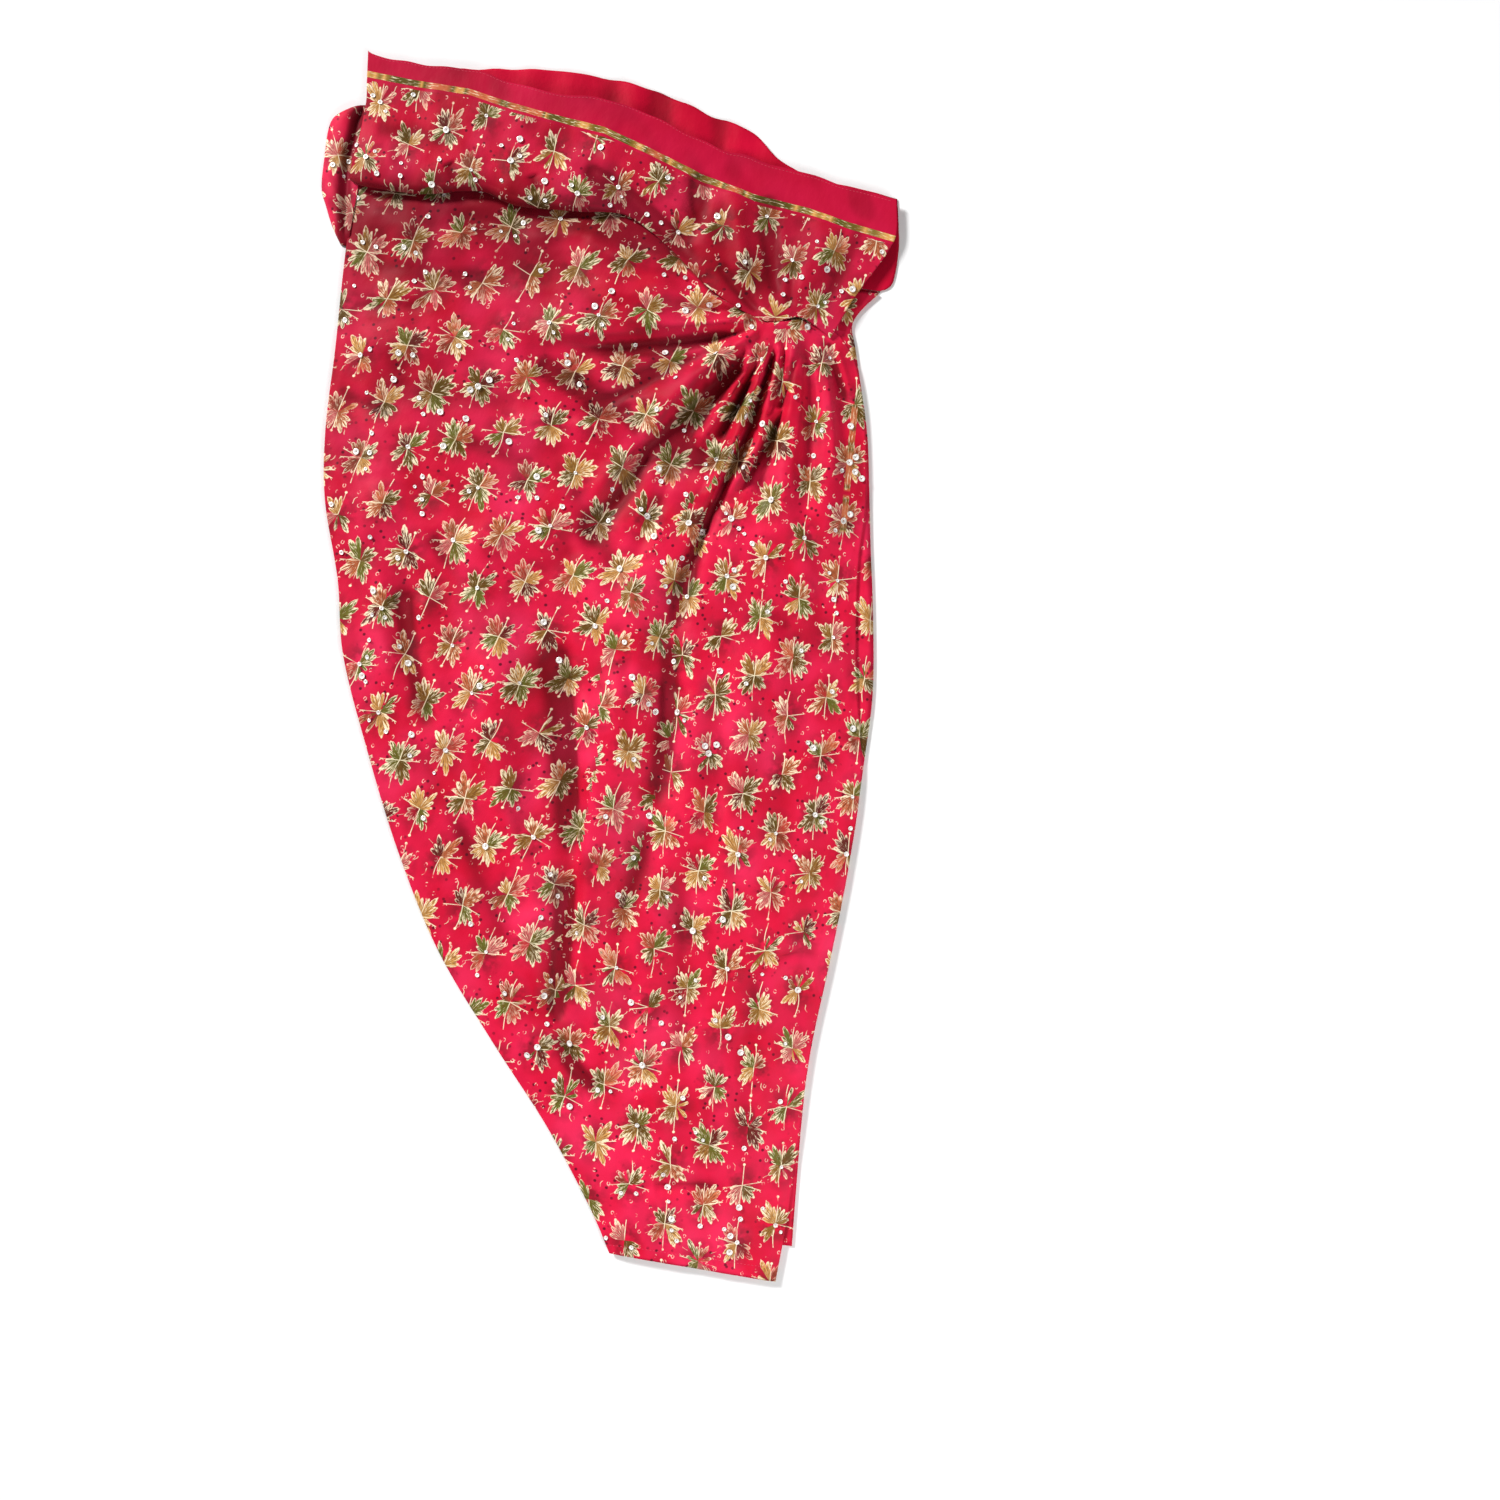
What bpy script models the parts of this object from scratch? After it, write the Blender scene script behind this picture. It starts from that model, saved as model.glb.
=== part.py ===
"""A patiala salwar laid flat on its side, one leg on the other.

X runs to the front edge, Y up to the waist and Z off the surface it lies on. The origin is under
the middle of the garment. Tables and sizes are in millimetres, and the objects are in metres.
"""
from collections import namedtuple
import math

import bmesh
import bpy
from mathutils import Vector

MM = 0.001

# Driving sizes
WALL = 1.5
GAP = 0.3
LAYER = WALL + GAP
PUFF = 3.6
PUFF_REACH = 45
EDGE_DROP = 1.7
EDGE_REACH = 9
YOKE_TUCK = 12
SEAM_SLACK = 1.2
DROOP_HEIGHT = 8
MOUND_HEIGHT = 7
MOUND_REACH = 38
PLEAT_CENTRE = (128, 262)
INNER_INSET = 14
FAR_INSET = 1.2

Section = namedtuple("Section", "left_x left_y right_x right_y")
Edge = namedtuple("Edge", "x y z")
Fold = namedtuple("Fold", "x0 y0 x1 y1 x2 y2 height start end")

# A row for each section across the near leg, from under the belt to the ankle hem
NEAR_LEG = [
    Section(-207.5, 396, 186, 272),
    Section(-214.5, 353, 196, 254),
    Section(-220, 311, 204, 221),
    Section(-226, 262, 209, 180),
    Section(-234, 196, 209, 134),
    Section(-234, 139, 203, 89),
    Section(-224, 73, 201, 36),
    Section(-218, 11, 202, -21),
    Section(-199, -66, 205, -87),
    Section(-174, -148, 196, -161),
    Section(-139, -230, 182, -237),
    Section(-95, -304, 166, -311),
    Section(-50, -374, 156, -378),
    Section(-16, -440, 147, -446),
    Section(1, -478, 136, -502),
]

# The far leg, which lies under it and shows past its front edge and at the ankle
FAR_LEG = [
    Section(-210, 379, 222, 308),
    Section(-212, 344, 200, 285),
    Section(-217, 303, 198, 260),
    Section(-223, 253, 210, 196),
    Section(-231, 196, 213, 147),
    Section(-231, 139, 214, 102),
    Section(-222, 73, 216, 48),
    Section(-215, 11, 216, -17),
    Section(-197, -66, 210, -71),
    Section(-173, -148, 199, -148),
    Section(-140, -230, 184, -226),
    Section(-98, -300, 169, -300),
    Section(-55, -366, 159, -366),
    Section(-22, -421, 154, -427),
    Section(-6, -456, 150, -473),
]

# The gusset folded out at the back edge, from under the belt down beside the leg
SEAT = [
    Section(-207, 461, -196, 461),
    Section(-223, 454, -196, 449),
    Section(-230, 444, -196, 430),
    Section(-234, 417, -206, 409),
    Section(-236, 394, -210.5, 391),
    Section(-232, 378, -213, 379),
    Section(-228, 362, -216, 362),
    Section(-222, 347, -217, 346),
]

# The near belt: its top edge, where the waist gapes, and the yoke seam under it
BELT_TOP = [
    Edge(-198, 502, 9),
    Edge(-147, 494, 9),
    Edge(-110, 489, 10),
    Edge(-81, 478, 12),
    Edge(-50, 469, 14),
    Edge(-3, 463, 15),
    Edge(35, 450, 14),
    Edge(76, 430, 11),
    Edge(119, 416, 7),
    Edge(166, 405, 5),
    Edge(197, 394, 4.5),
    Edge(235, 383, 4),
]
YOKE_SEAM = [
    Edge(-211, 399, 9),
    Edge(-183, 394, 9),
    Edge(-151, 390, 9),
    Edge(-105, 393, 9),
    Edge(-73, 381, 9),
    Edge(-26, 376, 9),
    Edge(13, 371, 9.5),
    Edge(48, 344, 11),
    Edge(87, 304, 14),
    Edge(128, 281, 15),
    Edge(156, 285, 12),
    Edge(180, 269, 9),
]
BELT_BACK = [
    Edge(-198, 502, 9),
    Edge(-199, 481, 9),
    Edge(-200, 462, 9),
    Edge(-204, 434, 11),
    Edge(-208, 416, 10.5),
    Edge(-211, 399, 9),
]
BELT_FRONT = [
    Edge(235, 383, 4),
    Edge(235, 356, 5),
    Edge(227, 339, 6),
    Edge(214, 321, 8),
    Edge(200, 302, 9),
    Edge(187, 280, 9),
    Edge(180, 269, 9),
]

# The far belt, which shows its plain inside behind the near one and a tab at the front
FAR_BELT_TOP = [
    Edge(-200, 499, WALL),
    Edge(-147, 495, WALL),
    Edge(-90, 491, WALL),
    Edge(-41, 488, WALL),
    Edge(9, 481, WALL),
    Edge(44, 468, WALL),
    Edge(80, 456, WALL),
    Edge(115, 440, WALL),
    Edge(140, 418, WALL),
    Edge(166, 409, WALL),
    Edge(197, 397, WALL),
    Edge(236, 385, WALL),
]
FAR_SEAM = [Edge(-209, 380.5, WALL), Edge(-20, 345, WALL), Edge(222, 309.5, WALL)]
FAR_BELT_BACK = [
    Edge(-200, 499, WALL),
    Edge(-200, 462, WALL),
    Edge(-207, 426, WALL),
    Edge(-209, 380.5, WALL),
]
FAR_BELT_FRONT = [
    Edge(236, 385, WALL),
    Edge(237, 363, WALL),
    Edge(237, 342, WALL),
    Edge(232, 316, WALL),
    Edge(222, 309.5, WALL),
]

# Pleats and folds of the near leg: a ridge has a height above 0, a valley one below
LEG_FOLDS = [
    Fold(130, 266, 109, 192, 55, 73, 6.5, 5, 5),
    Fold(136, 262, 128, 200, 97, 139, 5, 5, 6),
    Fold(132, 258, 117, 185, 80, 104, -2.5, 4, 7),
    Fold(148, 266, 150, 196, 136, 89, 3.5, 7, 15),
    Fold(169, 262, 181, 196, 179, 89, 3, 8, 15),
    Fold(178, 266, 187, 241, 196, 212, -3, 5, 6),
    Fold(123, 276, 74, 244, 33, 204, 5.5, 6, 14),
    Fold(121, 274, 66, 262, -32, 260, -4, 5, 9),
    Fold(119, 285, 58, 280, -90, 272, 4, 6, 17),
    Fold(114, 292, 87, 290, 41, 293, -2.5, 5, 7),
    Fold(111, 298, 66, 304, -41, 306, 3, 6, 17),
    Fold(111, 262, 84, 225, 33, 173, -4, 6, 13),
    Fold(117, 260, 97, 212, 66, 175, 3.5, 5, 9),
    Fold(60, 184, 74, 170, 85, 163, -3.5, 6, 6),
    Fold(-43, 24, -26, -72, -32, -165, -4.5, 15, 13),
    Fold(-32, -165, -36, -259, -46, -296, -4.5, 13, 11),
    Fold(-46, -296, -28, -333, 0, -349, -3.5, 11, 9),
    Fold(85, 141, 66, 81, 51, 24, -4, 9, 13),
    Fold(51, 24, 54, -58, 33, -124, -3.5, 13, 13),
    Fold(33, -124, 18, -181, 2, -230, -2.5, 13, 12),
    Fold(25, 89, 10, -42, -4, -189, 3.5, 20, 17),
    Fold(-172, 65, -165, -1, -139, -58, -3, 11, 13),
    Fold(-145, 110, -127, 81, -108, 58, -2.5, 9, 9),
    Fold(-188, 155, -192, 57, -172, -42, 2.5, 15, 15),
    Fold(-106, 122, -90, -9, -82, -148, 3.5, 25, 22),
    Fold(110, 20, 104, -90, 90, -220, 2.5, 24, 22),
    Fold(36, -419, 66, -415, 101, -429, -2, 7, 7),
    Fold(-131, 366, -77, 362, -24, 368, -2, 11, 11),
]

BELT_FOLDS = [
    Fold(129, 386, 133, 344, 138, 303, -2.5, 10, 7),
    Fold(74, 400, 74, 372, 68, 345, -2.5, 9, 9),
    Fold(103, 392, 105, 352, 112, 310, 2.5, 11, 9),
    Fold(181, 372, 169, 331, 156, 300, 2, 17, 12),
    Fold(-20, 408, 30, 380, 70, 330, -2.5, 9, 8),
    Fold(-150, 470, -90, 445, -30, 430, 2, 18, 18),
]

Material = namedtuple("Material", "red green blue roughness")
PRINTED = Material(0.62, 0.03, 0.09, 0.5)
PLAIN = Material(0.68, 0.01, 0.05, 0.55)
INSIDE = Material(0.42, 0.01, 0.03, 0.6)


def clear_scene():
    """Removes whatever the file opened with."""
    for old in list(bpy.data.objects):
        bpy.data.objects.remove(old, do_unlink=True)


def smooth_step(value):
    """0 below 0 and 1 above 1, with soft ends."""
    t = min(max(value, 0.0), 1.0)
    return t * t * (3 - 2 * t)


def spline(rows, t):
    """The point at t, 0 to 1, on a smooth curve through a table's rows."""
    last = len(rows) - 1
    place = min(max(t, 0.0), 1.0) * last
    row = min(int(place), last - 1)
    s = place - row
    before, start, end, after = (Vector(rows[min(max(row + k, 0), last)]) for k in (-1, 0, 1, 2))
    bend = 2 * before - 5 * start + 4 * end - after
    twist = 3 * start - before - 3 * end + after
    return 0.5 * (2 * start + (end - before) * s + bend * s ** 2 + twist * s ** 3)


def left_side(sections):
    """A leg's back edge, in plan."""
    return [(row.left_x, row.left_y) for row in sections]


def right_side(sections):
    """A leg's front edge, in plan."""
    return [(row.right_x, row.right_y) for row in sections]


def patch(top, bottom, left, right, u, v):
    """A point inside four edge curves; u runs from left to right and v from top to bottom."""
    across = (1 - v) * spline(top, u) + v * spline(bottom, u)
    down = (1 - u) * spline(left, v) + u * spline(right, v)
    corners = (
        (1 - u) * (1 - v) * Vector(top[0])
        + u * (1 - v) * Vector(top[-1])
        + (1 - u) * v * Vector(bottom[0])
        + u * v * Vector(bottom[-1])
    )
    return across + down - corners


def seam_height(x, rows=YOKE_SEAM):
    """Y of the yoke seam at x."""
    if x <= rows[0].x:
        return rows[0].y
    for one, two in zip(rows, rows[1:]):
        if x <= two.x:
            return one.y + (two.y - one.y) * (x - one.x) / (two.x - one.x)
    return rows[-1].y


def distance_to(x, y, line):
    """How far a point is from a line of points."""
    best = math.inf
    for (x0, y0), (x1, y1) in zip(line, line[1:]):
        dx = x1 - x0
        dy = y1 - y0
        t = ((x - x0) * dx + (y - y0) * dy) / (dx * dx + dy * dy)
        t = min(max(t, 0.0), 1.0)
        best = min(best, math.hypot(x - x0 - t * dx, y - y0 - t * dy))
    return best


def fold_relief(fold, x, y, steps=12):
    """What one fold adds to the height at a point; it dies out at both ends."""
    best = math.inf
    along = 0.0
    for step in range(steps + 1):
        t = step / steps
        px = (1 - t) ** 2 * fold.x0 + 2 * t * (1 - t) * fold.x1 + t * t * fold.x2
        py = (1 - t) ** 2 * fold.y0 + 2 * t * (1 - t) * fold.y1 + t * t * fold.y2
        away = math.hypot(x - px, y - py)
        if away < best:
            best = away
            along = t
    width = fold.start + (fold.end - fold.start) * along
    fade = smooth_step(along / 0.12 + 0.25) * smooth_step((1 - along) / 0.3 + 0.15)
    return fold.height * fade * math.exp(-((best / width) ** 2))


def relief(folds, x, y):
    """What all the folds of a table add at a point."""
    return sum(fold_relief(fold, x, y) for fold in folds)


def near_leg_height(x, y):
    """Upper face of the near leg: low at its side folds, full in the middle, then its folds."""
    side = min(distance_to(x, y, left_side(NEAR_LEG)), distance_to(x, y, right_side(NEAR_LEG)))
    edge = 4 * LAYER - EDGE_DROP + EDGE_DROP * min(side / EDGE_REACH, 1.0)
    below = smooth_step((seam_height(x) - y + 4) / 16)
    hem = smooth_step((y - NEAR_LEG[-1].left_y + 24) / 60)
    inside = smooth_step((side - EDGE_REACH / 2) / PUFF_REACH)
    folds = relief(LEG_FOLDS, x, y)
    from_centre = math.hypot(x - PLEAT_CENTRE[0], y - PLEAT_CENTRE[1])
    mound = MOUND_HEIGHT * math.exp(-((from_centre / MOUND_REACH) ** 2))
    near_edge = smooth_step((side - 2) / (1.5 * EDGE_REACH))
    full = PUFF * inside * hem + (folds + mound) * near_edge
    lowest = 0.2
    softened = lowest + math.log1p(math.exp(2 * (full - lowest))) / 2 - math.log(2) / 2
    return edge + max(softened, 0.0) * below


def wall(name, columns, rows, point, finish, collection):
    """A cloth wall: a grid whose upper face is point(u, v), given its thickness downwards."""
    mesh = bpy.data.meshes.new(name)
    made = bmesh.new()
    bmesh.ops.create_grid(made, x_segments=columns, y_segments=rows, size=0.5)
    for vertex in made.verts:
        vertex.co = point(vertex.co.x + 0.5, 0.5 - vertex.co.y) * MM
    made.to_mesh(mesh)
    made.free()
    piece = bpy.data.objects.new(name, mesh)
    collection.objects.link(piece)
    thicken = piece.modifiers.new("wall", "SOLIDIFY")
    thicken.thickness = WALL * MM
    thicken.offset = -1
    mesh.shade_smooth()
    mesh.materials.append(finish)
    return piece


def cloth_material(name, colour):
    """Cloth in one colour."""
    material = bpy.data.materials.new(name)
    material.use_nodes = True
    shader = material.node_tree.nodes["Principled BSDF"]
    shader.inputs["Base Color"].default_value = (colour.red, colour.green, colour.blue, 1)
    shader.inputs["Roughness"].default_value = colour.roughness
    shader.inputs["Metallic"].default_value = 0
    return material


def near_leg_point(u, v):
    """The near leg's panel; its columns crowd to the pleats under the yoke seam."""
    crowd = 1 - (1 - u) ** 1.7
    across = crowd + (u - crowd) * smooth_step(v / 0.55)
    top = [(row.x, row.y + YOKE_TUCK) for row in YOKE_SEAM]
    top[0] = left_side(NEAR_LEG)[0]
    top[1] = (YOKE_SEAM[1].x, YOKE_SEAM[1].y + YOKE_TUCK / 3)
    top[-1] = right_side(NEAR_LEG)[0]
    last = NEAR_LEG[-1]
    bottom = [(last.left_x, last.left_y), (last.right_x, last.right_y)]
    down = v + 0.35 * v * (v - 1)
    place = patch(top, bottom, left_side(NEAR_LEG), right_side(NEAR_LEG), across, down)
    return Vector((place.x, place.y, near_leg_height(place.x, place.y)))


def near_belt_point(u, v):
    """The near belt, which droops over the yoke seam at the back and meets the pleats in front."""
    place = patch(BELT_TOP, YOKE_SEAM, BELT_BACK, BELT_FRONT, u, v)
    inside = smooth_step(4 * u * (1 - u) * 2.5) * smooth_step(v * 3)
    droop = DROOP_HEIGHT * smooth_step((0.66 - u) / 0.3) * math.exp(-(((v - 0.78) / 0.17) ** 2))
    droop *= smooth_step(u / 0.08 + 0.3)
    height = place.z + droop + relief(BELT_FOLDS, place.x, place.y) * inside
    leg = near_leg_height(place.x, place.y)
    return Vector((place.x, place.y, max(height, leg + GAP + SEAM_SLACK * WALL)))


def far_belt_point(u, v):
    """The far belt, flat on the surface."""
    return patch(FAR_BELT_TOP, FAR_SEAM, FAR_BELT_BACK, FAR_BELT_FRONT, u, v)


def seat_point(u, v):
    """The gusset's rounded fold: down to the surface outside and tucked under the belt inside."""
    row = spline(SEAT, v)
    width = row[2] - row[0]
    crest = min(9.0, 2.2 + 0.42 * width) * smooth_step(v / 0.12 + 0.65)
    crest *= smooth_step((1 - v) / 0.2 + 0.45)
    tuck = min(6.5, crest)
    rise = math.sin(min(u / 0.45, 1.0) * math.pi / 2)
    height = WALL + (crest - WALL) * rise - (crest - tuck) * smooth_step((u - 0.45) / 0.5)
    return Vector((row[0] + width * u, row[1] + (row[3] - row[1]) * u, max(height, WALL)))


def flat_leg_point(sections, inset, hem_inset, top):
    """A flat hidden panel inside a leg's outline, drawn in from its sides and its ends."""
    def point(u, v):
        row = spline(sections, hem_inset + (1 - 2 * hem_inset) * v)
        start = Vector((row[0], row[1]))
        end = Vector((row[2], row[3]))
        across = (end - start).normalized()
        start += across * inset
        end -= across * inset
        place = start.lerp(end, u)
        return Vector((place.x, place.y, top))
    return point


def far_leg_point(u, v):
    """The far leg's outer panel, flat on the surface, from the far belt's seam down."""
    top = [(edge.x, edge.y - WALL) for edge in FAR_SEAM]
    left = left_side(FAR_LEG)
    right = right_side(FAR_LEG)
    left[0] = top[0]
    right[0] = top[-1]
    place = patch(top, [left[-1], right[-1]], left, right, u, v)
    return Vector((place.x, place.y, WALL))


def build():
    """Makes every piece of the garment."""
    clear_scene()
    garment = bpy.data.collections.new("patiala_salwar")
    bpy.context.scene.collection.children.link(garment)
    printed = cloth_material("printed_crepe", PRINTED)
    plain = cloth_material("plain_band", PLAIN)
    inside = cloth_material("inside_of_cloth", INSIDE)

    wall("far_leg_outer_panel", 4, 20, far_leg_point, printed, garment)
    far_inner = flat_leg_point(FAR_LEG, FAR_INSET, 0.004, 2 * LAYER - GAP)
    near_inner = flat_leg_point(NEAR_LEG, INNER_INSET, 0.004, 3 * LAYER - GAP)
    wall("far_leg_inner_panel", 4, 20, far_inner, inside, garment)
    wall("near_leg_inner_panel", 4, 20, near_inner, inside, garment)
    wall("near_leg_pleated_panel", 38, 46, near_leg_point, printed, garment)
    wall("far_belt", 14, 5, far_belt_point, plain, garment)
    wall("near_belt", 30, 12, near_belt_point, printed, garment)
    wall("seat_gusset", 7, 16, seat_point, printed, garment)


build()
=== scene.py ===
"""The looks of a patiala salwar in printed satin crepe, laid flat on its side.

Lengths in the tables are millimetres in the frame of the solids: X to the front edge, Y to the
waist, Z off the surface. Each cloth is a grid shaped by functions of u, from the back edge to the
front one, and v, from the waist end to the ankle end.
"""

from collections import namedtuple
import math
import random

import bmesh
import bpy
from mathutils import Matrix, Vector
import numpy as np


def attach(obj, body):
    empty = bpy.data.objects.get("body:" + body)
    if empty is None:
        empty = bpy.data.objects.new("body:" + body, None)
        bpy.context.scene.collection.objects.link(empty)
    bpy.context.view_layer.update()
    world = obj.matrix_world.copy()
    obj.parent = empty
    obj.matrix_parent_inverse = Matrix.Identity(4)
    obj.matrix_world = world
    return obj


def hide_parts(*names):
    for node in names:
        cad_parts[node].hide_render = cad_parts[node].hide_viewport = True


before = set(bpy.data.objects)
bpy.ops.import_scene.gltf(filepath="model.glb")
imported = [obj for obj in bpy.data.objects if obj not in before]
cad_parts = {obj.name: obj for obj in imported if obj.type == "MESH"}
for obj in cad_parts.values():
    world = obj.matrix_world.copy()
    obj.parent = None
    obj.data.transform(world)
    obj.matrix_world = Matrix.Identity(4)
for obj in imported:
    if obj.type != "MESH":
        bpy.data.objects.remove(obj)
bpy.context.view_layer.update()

MM = 0.001
CLOTH = 0.55

# The photo's frame: one pixel is PIXEL mm, and the camera looks straight down on its middle
PIXEL = 0.82
PHOTO_SIDE = 1500
PHOTO_CENTRE = (115.2, -66.4)
LENS = 50
SENSOR = 36

# Heights of the layers' upper faces at rest
FAR_OUTER_TOP = 0.9
FAR_INNER_TOP = 3.0
NEAR_INNER_TOP = 4.6
NEAR_BASE = 6.7
EDGE_DROP = 1.3
EDGE_REACH = 9
CURL_RADIUS = 1.15
CURL_UNDER = 9
CURL_COLUMNS = 8
PUFF = 7.5
FOLD_DEPTH = 1.9
SOFT_CEILING = 21
PUFF_REACH = 50
YOKE_TUCK = 12
DROOP_HEIGHT = 11
LIP_START = 0.78
LIP_LINE = 0.965
MOUND_HEIGHT = 5
MOUND_REACH = 40
PLEAT_CENTRE = (128, 264)

# The print: columns of flower sprigs, each column shifted up from its left neighbour
COLUMN_PITCH = 30.0
ROW_PITCH = 48.0
COLUMN_SHIFT = 0.38
STRIPE_WIDTH = 5.2
FRONT_STRIPE = -17.0

Section = namedtuple("Section", "left_x left_y right_x right_y")
BeltRow = namedtuple("BeltRow", "x y z band")
Edge = namedtuple("Edge", "x y z")
Fold = namedtuple("Fold", "x0 y0 x1 y1 x2 y2 height start end skew lean")
Dart = namedtuple("Dart", "degrees path")

NEAR_LEG = [
    Section(-206, 396, 188, 272),
    Section(-213, 353, 199, 254),
    Section(-218, 311, 206, 221),
    Section(-223, 262, 209, 180),
    Section(-231, 196, 209, 134),
    Section(-231.5, 139, 203, 89),
    Section(-221, 73, 201, 36),
    Section(-216.5, 11, 202, -21),
    Section(-197, -66, 205, -87),
    Section(-172, -148, 195, -161),
    Section(-139, -230, 180, -237),
    Section(-95, -304, 164, -311),
    Section(-50, -374, 154.5, -378),
    Section(-15, -440, 145, -446),
    Section(1, -478, 135, -501),
]
FAR_LEG = [
    Section(-208, 379, 222, 308),
    Section(-211, 344, 200, 285),
    Section(-215, 303, 202, 260),
    Section(-220, 253, 211, 196),
    Section(-228, 196, 213, 147),
    Section(-229, 139, 214, 102),
    Section(-219, 73, 216, 48),
    Section(-213.5, 11, 216, -17),
    Section(-195, -66, 209.5, -71),
    Section(-171, -148, 198, -148),
    Section(-140, -230, 182, -226),
    Section(-98, -300, 166, -300),
    Section(-55, -366, 158, -366),
    Section(-22, -421, 153, -427),
    Section(-6, -456, 149.5, -473),
]
SEAT = [
    Section(-207, 461, -196, 461),
    Section(-223, 454, -196, 449),
    Section(-230, 444, -197, 430),
    Section(-234, 417, -204, 409),
    Section(-236, 394, -205.2, 391),
    Section(-232, 378, -207.4, 379),
    Section(-227, 362, -210.6, 362),
    Section(-220, 347, -213, 346),
]
BELT_TOP = [
    BeltRow(-196.5, 502, 7, 14),
    BeltRow(-160, 494.5, 8, 14),
    BeltRow(-112, 488, 10, 16),
    BeltRow(-81, 478, 12, 17),
    BeltRow(-50, 469, 14, 17),
    BeltRow(-3, 463, 15, 23),
    BeltRow(35, 450, 13, 27),
    BeltRow(76, 430, 10, 27),
    BeltRow(119, 416, 6, 29),
    BeltRow(163, 404, 4, 28),
    BeltRow(197, 393, 3.6, 29),
    BeltRow(235, 383, 3.2, 30),
]
YOKE_SEAM = [
    Edge(-211, 399, 9),
    Edge(-183, 394, 9),
    Edge(-151, 390, 9),
    Edge(-105, 393, 9),
    Edge(-73, 381, 9),
    Edge(-26, 376, 9),
    Edge(13, 371, 9.5),
    Edge(48, 344, 11),
    Edge(87, 304, 14),
    Edge(128, 281, 15),
    Edge(156, 285, 13),
    Edge(180, 269, 9),
]
BELT_BACK = [
    Edge(-196.5, 502, 7),
    Edge(-197.5, 481, 8),
    Edge(-198, 462, 9),
    Edge(-203, 434, 10.5),
    Edge(-208, 416, 10.5),
    Edge(-211, 399, 9),
]
BELT_FRONT = [
    Edge(235, 383, 3.2),
    Edge(235, 356, 5),
    Edge(227, 339, 6),
    Edge(214, 321, 8),
    Edge(200, 302, 9),
    Edge(187, 280, 9),
    Edge(180, 269, 9),
]
FAR_BELT_TOP = [
    Edge(-194, 490, 1.3),
    Edge(-147, 490, 1.3),
    Edge(-90, 491.5, 1.4),
    Edge(-41, 488.5, 1.8),
    Edge(9, 481, 2.2),
    Edge(44, 469, 2.4),
    Edge(80, 454, 2.2),
    Edge(115, 440, 1.8),
    Edge(138, 417, 1.4),
    Edge(164, 403, 1.3),
    Edge(197, 395, 1.3),
    Edge(236, 385, 1.3),
]
FAR_SEAM = [Edge(-209, 380.5, 1.3), Edge(-20, 345, 1.3), Edge(222, 309.5, 1.3)]
FAR_BELT_BACK = [
    Edge(-194, 490, 1.3),
    Edge(-195, 462, 1.3),
    Edge(-203, 426, 1.3),
    Edge(-209, 380.5, 1.3),
]
FAR_BELT_FRONT = [
    Edge(236, 385, 1.3),
    Edge(237, 363, 1.3),
    Edge(237, 342, 1.3),
    Edge(232, 316, 1.3),
    Edge(222, 309.5, 1.3),
]

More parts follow.
